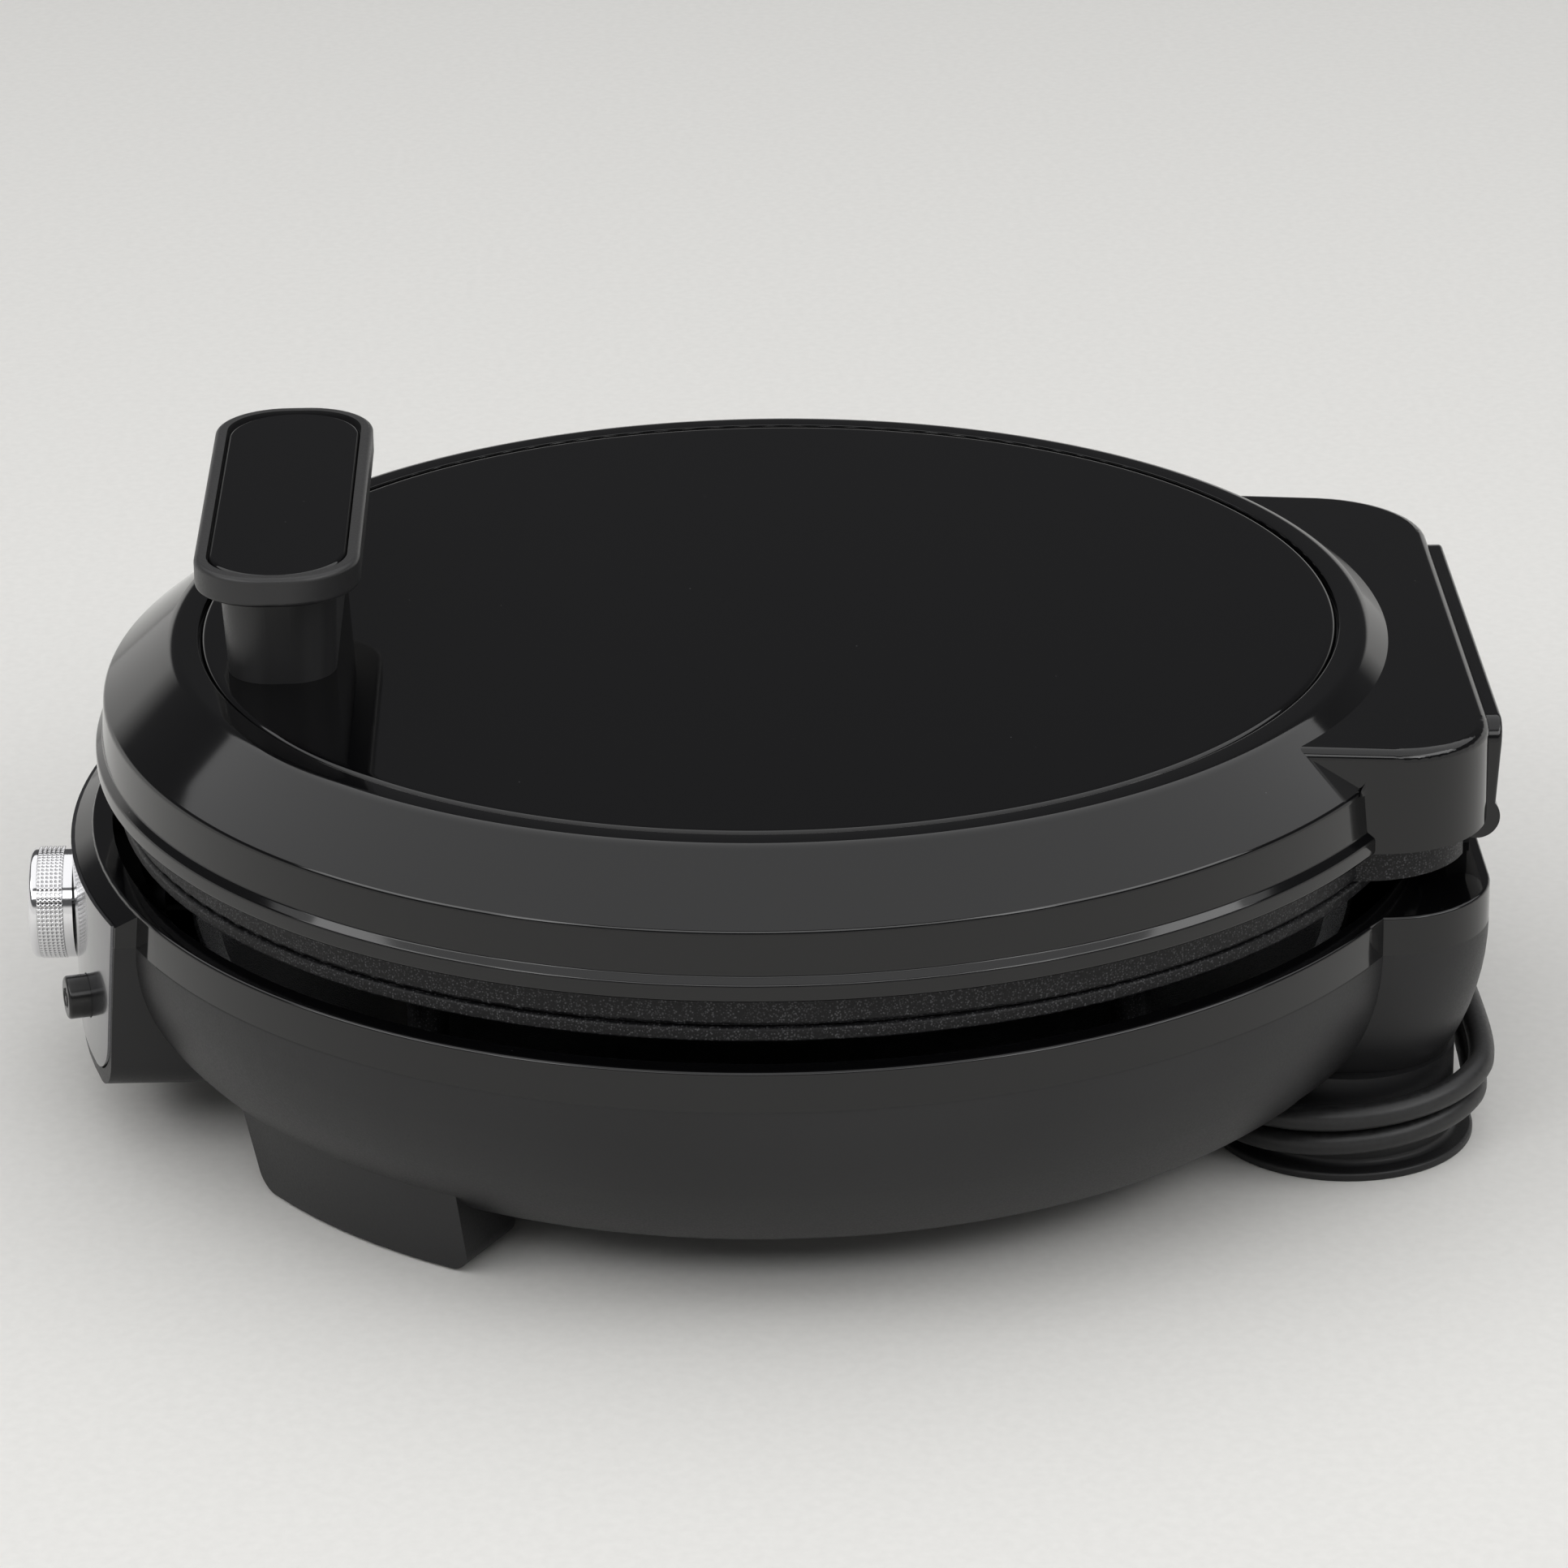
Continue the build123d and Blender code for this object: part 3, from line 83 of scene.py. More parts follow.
DIAL_SWEEP = radians(270)
PANEL_FACE_RADIUS = 176.0 * MM
TICK_COUNT = 21
TICK_GROUP = 5
TICK_SHORT = 1.2 * MM
TICK_LONG = 2.2 * MM
TICK_WIDTH = 0.5 * MM
TICK_GAP = 2.0 * MM
INK_THICKNESS = 0.05 * MM

# Button, square to the panel at its own angle, and the sign on its face
BUTTON_ANGLE = radians(14.4)
BUTTON_LEVEL = 36.0 * MM
BUTTON_FACE_REACH = 181.6 * MM
SIGN_RADIUS = 2.3 * MM
SIGN_LINE = 0.22 * MM
SIGN_OPENING = radians(38)
SIGN_BAR = (0.25, 1.15)

# Indicator lenses: where, along X, green ends and red starts
LAMP_SPLIT = -42.0 * MM

# Lid, from its mouth upwards. A new surface lies a skin's thickness outside the moulding that
# it covers.
SKIN = 0.06 * MM
LIP_DEPTH = 3.0 * MM
LIP_HEIGHT = 4.0 * MM
LIP_CHAMFER = 1.8 * MM
BAND_INSET = 1.7 * MM
BAND_HEIGHT = 10.5 * MM
BAND_LEAN = 0.8 * MM
SHOULDER_WIDTH = 17.7 * MM
COVER_ROUNDINGS = [r * MM for r in (0.8, 1.2, 1.0, 2.0, 4.5, 0.4)]
DISC_RADIUS = box_of("lid_disc")[1].x / 2
DISC_GAP = 0.6 * MM
DISC_GROOVE_DEPTH = 2.0 * MM
DISC_ROUNDING = 1.6 * MM
DISC_RIM = 3.0 * MM
BLOCK_HALF_WIDTH = 90.0 * MM
FILLET_RADIUS = 3.5 * MM
FILLET_TOP = 111.0 * MM
FILLET_FOOT = 92.9 * MM
FILLET_RUN_OUT = 4.0 * MM
FILLET_STEPS = 12
INLAY_ROUNDING = 1.2 * MM
INLAY_FLAT = 0.02 * MM

# Gloss ring of the base, on each side from the front block to the rear block
LAND_WIDTH = 5.2 * MM
THROAT_WIDTH = 6.0 * MM
THROAT_DEPTH = 7.0 * MM
TRIM_ROUNDINGS = [0.8 * MM, 0.5 * MM]
TRIM_FRONT = radians(61.5)
TRIM_REAR = radians(56)
TRIM_SEGMENTS = 280
JOINT_DROP = 0.3 * MM
JOINT_RISE = 0.1 * MM

# Screws that face down
SCREW_HEAD_RADIUS = 3.5 * MM
CROSS_LENGTH = 3.6 * MM
CROSS_WIDTH = 0.8 * MM

# Route of the lead, measured from the plates' axis
CORD_DIAMETER = 6.4 * MM
FOOT_OFFSET = 58.0 * MM
FOOT_REACH = 139.6 * MM
WINDING_RADII = (34.6 * MM, 31.6 * MM, 33.2 * MM)
WINDING_HIGH = 21.6 * MM
WINDING_PITCH = 7.1 * MM
WINDING_DROP = 6.0 * MM
TURN_POINTS = 8
GLAND_REACH = 118.0 * MM
GLAND_LEVEL = 19.8 * MM
RELIEF_RUN = 7.0 * MM
SURFACE = 3.3 * MM
PLUG_X = -200.0 * MM
PLUG_LEVEL = 9.0 * MM
PLUG_RUN = 81.0 * MM

# Strain relief and plug; a ribbed sleeve has a radius at its root and at its tip
RELIEF_START = 0.5 * MM
RELIEF_RADII = (4.72 * MM, 3.84 * MM)
RELIEF_LENGTH = 19.3 * MM
RELIEF_RIBS = 5
RELIEF_RISE = 0.35 * MM
NECK_START = 12.0 * MM
NECK_RADII = (5.45 * MM, 3.95 * MM)
NECK_LENGTH = 11.6 * MM
NECK_RIBS = 4
NECK_RISE = 0.5 * MM
LIVE_PIN_OFFSET = 11.1 * MM
LIVE_PIN_SECTION = (6.4 * MM, 4.0 * MM)
PIN_SLEEVE_LENGTH = 9.0 * MM
PIN_SLEEVE_WALL = 0.12 * MM
PIN_SLEEVE_ROUNDINGS = (0.4 * MM, 0.05 * MM)
CARRIER_SIZE = (8.5 * MM, 15.0 * MM, 0.7 * MM)
CARRIER_SETBACK = 3.0 * MM
CARRIER_ROUNDINGS = (1.2 * MM, 0.3 * MM)


# Surfaces

def new_mesh(name, vertices, faces, material, smooth=True):
    """Puts arrays of vertices and faces into a mesh object at the origin."""
    mesh = bpy.data.meshes.new(name)
    mesh.from_pydata(np.asarray(vertices).tolist(), [], [[int(i) for i in face] for face in faces])
    mesh.polygons.foreach_set("use_smooth", [smooth] * len(mesh.polygons))
    mesh.materials.append(material)
    mesh.validate()
    mesh.update()
    piece = bpy.data.objects.new(name, mesh)
    bpy.context.scene.collection.objects.link(piece)
    return piece


def grid_faces(rows, columns, wrap=False):
    """Quads of a grid of rows by columns; wrap joins the last column to the first."""
    row = np.arange(rows - 1)[:, None]
    column = np.arange(columns if wrap else columns - 1)[None, :]
    following = (column + 1) % columns
    corners = (row * columns + column, row * columns + following)
    above = (corners[1] + columns, corners[0] + columns)
    return np.stack(np.broadcast_arrays(*corners, *above), axis=-1).reshape(-1, 4)


def capped(rows, columns):
    """Quads of a wrapped grid, with one face over its first row and one over its last."""
    faces = [list(face) for face in grid_faces(rows, columns, wrap=True)]
    faces.append(list(range(columns))[::-1])
    faces.append(list(range((rows - 1) * columns, rows * columns)))
    return faces


def rounded_profile(corners, roundings, steps=10):
    """Profile through the given corners, as rows of radius and height. Each corner with a
    rounding becomes an arc that touches both of its edges."""
    corners = np.asarray(corners, float)
    rows = [corners[:1]]
    for before, corner, after, rounding in zip(corners, corners[1:], corners[2:], roundings):
        towards = (before - corner) / np.linalg.norm(before - corner)
        away = (after - corner) / np.linalg.norm(after - corner)
        half = np.arccos(np.clip(towards @ away, -1, 1)) / 2
        bisector = (towards + away) / np.linalg.norm(towards + away)
        middle = corner + bisector * rounding / np.sin(half)
        first = corner + towards * rounding / np.tan(half) - middle
        last = corner + away * rounding / np.tan(half) - middle
        spread = np.linspace(0, 1, steps)[:, None]
        turn = pi - 2 * half
        arc = (np.sin((1 - spread) * turn) * first + np.sin(spread * turn) * last) / np.sin(turn)
        rows.append(middle + arc)
    rows.append(corners[-1:])
    return np.concatenate(rows)


def proud_of(profile, height):
    """The same profile moved outwards by a small height, along its own normals."""
    slope = np.gradient(profile, axis=0)
    slope /= np.linalg.norm(slope, axis=1)[:, None]
    return profile + height * np.stack([slope[:, 1], -slope[:, 0]], axis=-1)


def turned(profile, origin, axis, across, start=0.0, end=2 * pi, segments=ROUND_SEGMENTS):
    """Surface of a profile, drawn as radius and height along the axis, that is carried round
    the axis from start to end, measured from the direction across."""
    axis, across = Vector(axis), Vector(across)
    third = axis.cross(across)
    whole = end - start > 2 * pi - 1e-6
    angle = np.linspace(start, end, segments, endpoint=not whole)[None, :, None]
    radius = profile[:, 0][:, None, None]
    height = profile[:, 1][:, None, None]
    spoke = np.cos(angle) * np.array(across) + np.sin(angle) * np.array(third)
    vertices = np.array(origin) + radius * spoke + height * np.array(axis)
    return vertices.reshape(-1, 3), grid_faces(len(profile), segments, wrap=whole)


def round_slab(centre, size, corner, edge, sides=10, steps=6):
    """Closed slab with rounded plan corners and a rounded top edge. Each row is the plan drawn
    in by the edge rounding times one less the cosine, at the height of its sine."""
    quarter = np.linspace(0, pi / 2, sides)
    plan = np.concatenate([quarter + k * pi / 2 for k in range(4)])
    signs = np.repeat(np.array([[1, 1], [-1, 1], [-1, -1], [1, -1]]), sides, axis=0)
    half = np.array([size[0] / 2 - corner, size[1] / 2 - corner])
    rise = np.linspace(0, pi / 2, steps)
    inset = np.concatenate([[0], edge * (1 - np.cos(rise))])
    level = np.concatenate([[0], size[2] - edge + edge * np.sin(rise)])
    reach = np.stack([np.cos(plan), np.sin(plan)], axis=-1)
    flat = signs * half + (corner - inset)[:, None, None] * reach[None, :, :]
    height = np.broadcast_to(level[:, None, None], flat.shape[:2] + (1,))
    vertices = np.concatenate([flat, height], axis=-1).reshape(-1, 3) + np.array(centre)
    return vertices, capped(len(level), 4 * sides)


def round_rod(path, radius, normal, sides=10):
    """Rod along a flat path: at each point a circle spanned by the path's fixed normal and
    the direction across the path."""
    path = np.asarray(path)
    tangent = np.gradient(path, axis=0)
    tangent /= np.linalg.norm(tangent, axis=1)[:, None]
    normal = np.array(normal)
    across = np.cross(normal, tangent)
    angle = np.linspace(0, 2 * pi, sides, endpoint=False)[None, :, None]
    circle = np.cos(angle) * across[:, None, :] + np.sin(angle) * normal
    vertices = (path[:, None, :] + radius * circle).reshape(-1, 3)
    return vertices, capped(len(path), sides)


def joined(parts):
    """Several surfaces as one: their vertices in a row, with each surface's faces moved on."""
    vertices, faces, count = [], [], 0
    for points, corners in parts:
        vertices.append(np.asarray(points))
        faces.extend([[index + count for index in face] for face in corners])
        count += len(points)
    return np.concatenate(vertices), faces


# Finishes

def linear(code):
    """Linear colour of an sRGB hex code."""
    channels = [int(code[i:i + 2], 16) / 255 for i in (1, 3, 5)]
    return [c / 12.92 if c <= 0.04045 else ((c + 0.055) / 1.055) ** 2.4 for c in channels] + [1.0]


def per_size(size_mm):
    """Scale of a texture whose features are this large, in millimetres."""
    return 1 / (size_mm * MM)


def wire(tree, node, inputs):
    """Sets each input of a node to a constant, or links it to a socket."""
    for key, value in inputs.items():
        if isinstance(value, bpy.types.NodeSocket):
            tree.links.new(value, node.inputs[key])
        else:
            node.inputs[key].default_value = value


def add(tree, kind, inputs=None, **settings):
    """Adds a node, sets its properties, and sets or links its inputs."""
    node = tree.nodes.new(kind)
    for name, value in settings.items():
        setattr(node, name, value)
    wire(tree, node, inputs or {})
    return node


def start(name):
    """A bare material: its tree, shader and the object's own coordinates."""
    material = bpy.data.materials.new(name)
    material.use_nodes = True
    tree = material.node_tree
    shader = tree.nodes["Principled BSDF"]
    place = add(tree, "ShaderNodeTexCoord").outputs["Object"]
    return material, tree, shader, place


def two_tones(tree, node, pattern, first, last, low=0.3, high=0.7, socket="Base Color"):
    """Moves a node's colour from the first tone to the last while a pattern rises from low to
    high."""
    share = add(tree, "ShaderNodeMapRange", {"Value": pattern, "From Min": low, "From Max": high})
    tones = {0: share.outputs["Result"], 6: linear(first), 7: linear(last)}
    blend = add(tree, "ShaderNodeMix", tones, data_type="RGBA")
    wire(tree, node, {socket: blend.outputs[2]})


def uneven_gloss(tree, shader, place, size_mm, smooth, rough, low=0.3, high=0.7, detail=2.0,
                 fractal=0.5):
    """Lets the roughness wander between two values in patches of a real size, and gives the
    noise that it follows."""
    inputs = {"Vector": place, "Scale": per_size(size_mm), "Detail": detail, "Roughness": fractal}
    noise = add(tree, "ShaderNodeTexNoise", inputs).outputs["Fac"]
    inputs = {"Value": noise, "From Min": low, "From Max": high, "To Min": smooth, "To Max": rough}
    film = add(tree, "ShaderNodeMapRange", inputs)
    wire(tree, shader, {"Roughness": film.outputs["Result"]})
    return noise


def textured_abs(name, dark, light, rough, grain_mm, ior=1.53):
    """Injection-moulded ABS from a spark-eroded mould: black with a fine even grain that
    turns highlights soft. The real grain is about 0.2 mm and is drawn coarser to show. A lower
    index stands for a deep grain, which shades part of its own reflection."""
    material, tree, shader, place = start(name)
    grain = uneven_gloss(
        tree, shader, place, grain_mm, rough - 0.05, rough + 0.07, detail=3.0, fractal=0.6)
    inputs = {"Vector": place, "Scale": per_size(45.0), "Detail": 1.0}
    cloud = add(tree, "ShaderNodeTexNoise", inputs).outputs["Fac"]
    two_tones(tree, shader, cloud, dark, light)
    inputs = {"Height": grain, "Distance": 0.035 * MM, "Strength": 0.5}
    relief = add(tree, "ShaderNodeBump", inputs)
    wire(tree, shader, {"Normal": relief.outputs["Normal"], "IOR": ior})
    return material


def gloss_abs(name, colour, rough, peel_mm=7.0, depth_mm=0.01):
    """Polished black ABS: mirror-like, with the faint long ripple of a moulded wall and a
    few grey specks of dust, which break up its reflections."""
    material, tree, shader, place = start(name)
    uneven_gloss(tree, shader, place, 60.0, rough, rough + 0.035, low=0.35, high=0.75)
    speck = add(tree, "ShaderNodeTexVoronoi", {"Vector": place, "Scale": per_size(11.0)})
    two_tones(tree, shader, speck.outputs["Distance"], "#4a4a4b", colour, low=0.012, high=0.02)
    inputs = {"Vector": place, "Scale": per_size(peel_mm), "Detail": 1.0}
    ripple = add(tree, "ShaderNodeTexNoise", inputs).outputs["Fac"]
    inputs = {"Height": ripple, "Distance": depth_mm * MM, "Strength": 0.35}
    relief = add(tree, "ShaderNodeBump", inputs)
    wire(tree, shader, {"Normal": relief.outputs["Normal"], "IOR": 1.5})
    return material


def speckled_coat():
    """Non-stick coat sprayed on cast aluminium: near black with fine grey flecks and a
    slightly rough skin. Flecks are 0.3 mm and are drawn at 0.5 mm to show. A cell of the
    pattern is grey by its own tone, and only near its middle."""
    material, tree, shader, place = start("speckled_nonstick_coat")
    fleck = add(tree, "ShaderNodeTexVoronoi", {"Vector": place, "Scale": per_size(0.5)})
    tone = add(tree, "ShaderNodeSeparateColor", {"Color": fleck.outputs["Color"]})
    inputs = {"Value": tone.outputs[0], "From Min": 0.3, "From Max": 0.9}
    chosen = add(tree, "ShaderNodeMapRange", inputs)
    inputs = {"Value": fleck.outputs["Distance"], "From Min": 0.3, "From Max": 0.5,
              "To Min": chosen.outputs["Result"], "To Max": 0.0}
    share = add(tree, "ShaderNodeMapRange", inputs)
    two_tones(tree, shader, share.outputs["Result"], "#08080a", "#48484a", low=0.0, high=1.0)
    skin = uneven_gloss(tree, shader, place, 0.6, 0.38, 0.55)
    relief = add(tree, "ShaderNodeBump", {"Height": skin, "Distance": 0.03 * MM, "Strength": 0.6})
    wire(tree, shader, {"Normal": relief.outputs["Normal"], "IOR": 1.35})
    return material


def metallised_panel():
    """ABS with a smoked silver metallised coat under lacquer: a soft mirror."""
    material, tree, shader, place = start("smoked_silver_metallised_abs")
    inputs = {"Vector": place, "Scale": per_size(0.35), "Detail": 1.0}
    flake = add(tree, "ShaderNodeTexNoise", inputs).outputs["Fac"]
    two_tones(tree, shader, flake, "#626265", "#6f6f72", low=0.35, high=0.65)
    uneven_gloss(tree, shader, place, 14.0, 0.13, 0.19)
    wire(tree, shader, {"Metallic": 0.9, "Coat Weight": 0.5, "Coat Roughness": 0.05})
    return material


def metal(name, dark, light, rough, grain_mm, depth_mm=0.01, stretch=(1, 1, 1)):
    """Bare or plated metal with a directional or even surface grain."""
    material, tree, shader, place = start(name)
    along = add(tree, "ShaderNodeMapping", {"Vector": place, "Scale": stretch}).outputs["Vector"]
    grain = uneven_gloss(
        tree, shader, along, grain_mm, rough - 0.05, rough + 0.08, detail=3.0, fractal=0.6)
    two_tones(tree, shader, grain, dark, light)
    inputs = {"Height": grain, "Distance": depth_mm * MM, "Strength": 0.4}
    relief = add(tree, "ShaderNodeBump", inputs)
    wire(tree, shader, {"Normal": relief.outputs["Normal"], "Metallic": 1.0})
    return material


def chromed_knob(middle):
    """Chrome-plated ABS: a bright mirror on the side, darker deep in the dimples where shade is
    painted into its colour, and on the face fine spun rings. A dark groove on the face points at
    the first of the dial's strokes."""
    material, tree, shader, place = start("polished_chrome_plate")
    inputs = {"Vector": place, "Location": -middle}
    centred = add(tree, "ShaderNodeMapping", inputs).outputs["Vector"]
    x, y, z = add(tree, "ShaderNodeSeparateXYZ", {"Vector": centred}).outputs
    flat = add(tree, "ShaderNodeCombineXYZ", {"X": x, "Z": z}).outputs["Vector"]
    radius = add(tree, "ShaderNodeVectorMath", {0: flat}, operation="LENGTH").outputs["Value"]
    inputs = {"Vector": centred, "Rotation": (0, DIAL_SWEEP / 2, 0)}
    pointed = add(tree, "ShaderNodeMapping", inputs).outputs["Vector"]
    beside, _, ahead = add(tree, "ShaderNodeSeparateXYZ", {"Vector": pointed}).outputs
    side = add(tree, "ShaderNodeMath", {0: beside}, operation="ABSOLUTE").outputs[0]
    run = add(tree, "ShaderNodeMath", {0: y, 1: KNURL_CENTRE}, operation="SUBTRACT").outputs[0]
    run = add(tree, "ShaderNodeMath", {0: run}, operation="ABSOLUTE").outputs[0]
    # Each share goes from its first value to its last while a length goes from low to high.
    face_start, groove, knurl = KNOB_FRONT + KNOB_FACE_DEPTH, GROOVE_HALF_WIDTH, KNURL_LENGTH / 2
    shares = []
    for value, low, high, first, last in (
        (y, face_start, face_start + KNOB_FACE_DEPTH, 1.0, 0.0),
        (side, groove, groove + GROOVE_BLUR, 1.0, 0.0),
        (ahead, GROOVE_START, GROOVE_START + GROOVE_BLUR, 0.0, 1.0),
        (radius, KNOB_RADIUS + DIMPLE_SHADE[0], KNOB_RADIUS + DIMPLE_SHADE[1], 1.0, 0.0),
        (radius, KNOB_RADIUS + PAINTED_SHADE_INNER[0], KNOB_RADIUS + PAINTED_SHADE_INNER[1], 0.0, 1.0),
        (run, knurl, knurl + 0.05 * MM, 1.0, 0.0),
    ):
        inputs = {"Value": value, "From Min": low, "From Max": high}
        inputs |= {"To Min": first, "To Max": last}
        shares.append(add(tree, "ShaderNodeMapRange", inputs).outputs["Result"])
    # sunk, plated and knurled together mark the painted shade deep in the dimples; plated only
    # keeps it off the middle of the face.
    face, slim, outward, sunk, plated, knurled = shares
    inputs = {"Vector": radius, "Scale": per_size(0.25), "Detail": 2.0}
    rings = add(tree, "ShaderNodeTexNoise", inputs).outputs["Fac"]
    products = []
    for factors in ((slim, outward, face), (sunk, plated, knurled), (rings, face)):
        product = factors[0]
        for factor in factors[1:]:
            inputs = {0: product, 1: factor}
            product = add(tree, "ShaderNodeMath", inputs, operation="MULTIPLY").outputs[0]
        products.append(product)
    mark, shaded, ringed = products
    # Painted shade: the bright plating turns dark grey where the dimples are deep.
    tones = {0: shaded, 6: linear("#ececee"), 7: linear("#28282a")}
    plate = add(tree, "ShaderNodeMix", tones, data_type="RGBA").outputs[2]
    tones = {0: mark, 6: plate, 7: linear("#161617")}
    marked = add(tree, "ShaderNodeMix", tones, data_type="RGBA").outputs[2]
    inputs = {"Value": ringed, "From Min": 0.3, "From Max": 0.7, "To Min": 0.09, "To Max": 0.24}
    spun = add(tree, "ShaderNodeMapRange", inputs).outputs["Result"]
    wire(tree, shader, {"Base Color": marked, "Roughness": spun, "Metallic": 1.0})
    return material


def soft_pvc(name, colour, rough=0.42):
    """Extruded or moulded soft PVC: satin black with a slightly uneven skin."""
    material, tree, shader, place = start(name)
    skin = uneven_gloss(
        tree, shader, place, 1.2, rough - 0.06, rough + 0.08, detail=3.0, fractal=0.6)
    two_tones(tree, shader, skin, colour, "#1d1d1e")
    relief = add(tree, "ShaderNodeBump", {"Height": skin, "Distance": 0.03 * MM, "Strength": 0.4})
    wire(tree, shader, {"Normal": relief.outputs["Normal"], "IOR": 1.52})
    return material


def lamp_lenses():
    """Tinted acrylic lenses, moulded and polished: the outer one green and the inner one red,
    told apart by their place along X."""
    material, tree, shader, place = start("tinted_acrylic_lenses")
    x = add(tree, "ShaderNodeSeparateXYZ", {"Vector": place}).outputs["X"]
    inputs = {"Value": x, "From Min": LAMP_SPLIT, "From Max": LAMP_SPLIT + 0.2 * MM}
    side = add(tree, "ShaderNodeMapRange", inputs).outputs["Result"]
    inputs = {"Vector": place, "Scale": per_size(1.5), "Detail": 1.0}
    noise = add(tree, "ShaderNodeTexNoise", inputs).outputs["Fac"]
    inputs = {"Value": noise, "From Min": 0.3, "From Max": 0.7}
    cloud = add(tree, "ShaderNodeMapRange", inputs).outputs["Result"]
    lenses = []
    for dark, light in (("#0f6a2c", "#1d9a44"), ("#8a0f0c", "#c21f16")):
        tones = {0: cloud, 6: linear(dark), 7: linear(light)}
        lenses.append(add(tree, "ShaderNodeMix", tones, data_type="RGBA").outputs[2])
    both = add(tree, "ShaderNodeMix", {0: side, 6: lenses[0], 7: lenses[1]}, data_type="RGBA")
    wire(tree, shader, {"Base Color": both.outputs[2], "Roughness": 0.08})
    wire(tree, shader, {"IOR": 1.49, "Transmission Weight": 0.25})
    return material


def matt_sheet(name, dark, light, size_mm, rough):
    """Matt printing ink or paper: two near tones in small patches, where the ink is thinner
    or the fibres lie closer."""
    material, tree, shader, place = start(name)
    film = add(tree, "ShaderNodeTexNoise", {"Vector": place, "Scale": per_size(size_mm)})
    two_tones(tree, shader, film.outputs["Fac"], dark, light)
    wire(tree, shader, {"Roughness": rough})
    return material


housing_finish = textured_abs("textured_black_abs", "#19191a", "#1e1e1f", 0.42, 0.55, 1.43)
handle_finish = textured_abs("satin_black_abs", "#1b1b1c", "#1f1f20", 0.38, 0.6)
trim_finish = gloss_abs("gloss_black_abs", "#070708", 0.055)
lid_finish = gloss_abs("gloss_black_lid_abs", "#09090a", 0.06)
disc_finish = gloss_abs("mirror_black_disc", "#050506", 0.035, 12.0, 0.006)
leaf_finish = gloss_abs("gloss_black_leaf_abs", "#0b0b0c", 0.12)
button_finish = gloss_abs("satin_black_button_abs", "#060606", 0.2)
coat_finish = speckled_coat()
panel_finish = metallised_panel()
knob_finish = chromed_knob(KNOB_MIDDLE)
sheet_finish = metal("bright_aluminium_sheet", "#c9cacc", "#dcdddf", 0.24, 0.6, 0.01, (1, 12, 1))
element_finish = metal("heat_tinted_steel_sheath", "#6d6152", "#8a8078", 0.38, 1.2, 0.02)
zinc_finish = metal("zinc_plated_steel", "#b4b5b3", "#cbccca", 0.28, 0.5)
pin_finish = metal("ground_steel", "#c3c3c4", "#d6d6d7", 0.18, 0.3, 0.005, (12, 1, 1))
dark_steel_finish = metal("phosphated_steel", "#2c2c2d", "#39393a", 0.4, 0.6)
brass_finish = metal("bright_brass", "#c9ac63", "#dcc07a", 0.2, 0.5, 0.005)
sheath_finish = soft_pvc("black_pvc_sheath", "#0b0b0c")
plug_finish = soft_pvc("moulded_black_pvc", "#151516", 0.36)
rubber_finish = soft_pvc("black_rubber", "#181818", 0.62)
phenolic_finish = textured_abs("beige_phenolic", "#b9b2a2", "#c6c0b1", 0.5, 0.8)
lens_finish = lamp_lenses()
# Painted shade: near black for the trim's joint and the screws' cross recesses, where shade falls.
recess_finish = soft_pvc("shadowed_recess", "#0a0a0a", 0.7)
ink_finish = matt_sheet("white_dial_ink", "#e4e4e4", "#f4f4f4", 0.5, 0.55)
paper_finish = matt_sheet("pale_seamless_paper", "#dcdbd8", "#e0dfdc", 3.0, 0.85)

NODE_FINISHES = {
    "base_housing": housing_finish,
    "leg_pads": rubber_finish,
    "base_trim": trim_finish,
    "control_panel": panel_finish,
    "lower_plate": coat_finish,
    "upper_plate": coat_finish,
    "lower_heating_element": element_finish,
    "upper_heating_element": element_finish,
    "lower_reflector": sheet_finish,
    "upper_reflector": sheet_finish,
    "base_screws": zinc_finish,
    "upper_plate_screws": zinc_finish,
    "lid_shell": lid_finish,
    "lid_disc": disc_finish,
    "lid_hinge_leaf": leaf_finish,
    "base_hinge_leaf": housing_finish,
    "hinge_pin": pin_finish,
    "base_leaf_screws": zinc_finish,
    "lid_leaf_screws": zinc_finish,
    "handle_stem": handle_finish,
    "handle_grip": handle_finish,
    "handle_inlay": disc_finish,
    "handle_screws": zinc_finish,
    "thermostat_knob": knob_finish,
    "thermostat_shaft": pin_finish,
    "thermostat_body": dark_steel_finish,
    "power_button": button_finish,
    "switch_body": plug_finish,
    "indicator_lenses": lens_finish,
    "terminal_block": phenolic_finish,
    "rear_foot_right": housing_finish,
    "rear_foot_left": housing_finish,
    "rear_foot_screws": zinc_finish,
    "cord_gland": plug_finish,
    "strain_relief": sheath_finish,
    "cord_winding": sheath_finish,
    "cord_tail": sheath_finish,
    "power_plug": plug_finish,
    "plug_pins": brass_finish,
}

for node, finish in NODE_FINISHES.items():
    nodes[node].data.materials.clear()
    nodes[node].data.materials.append(finish)


# Knob and button

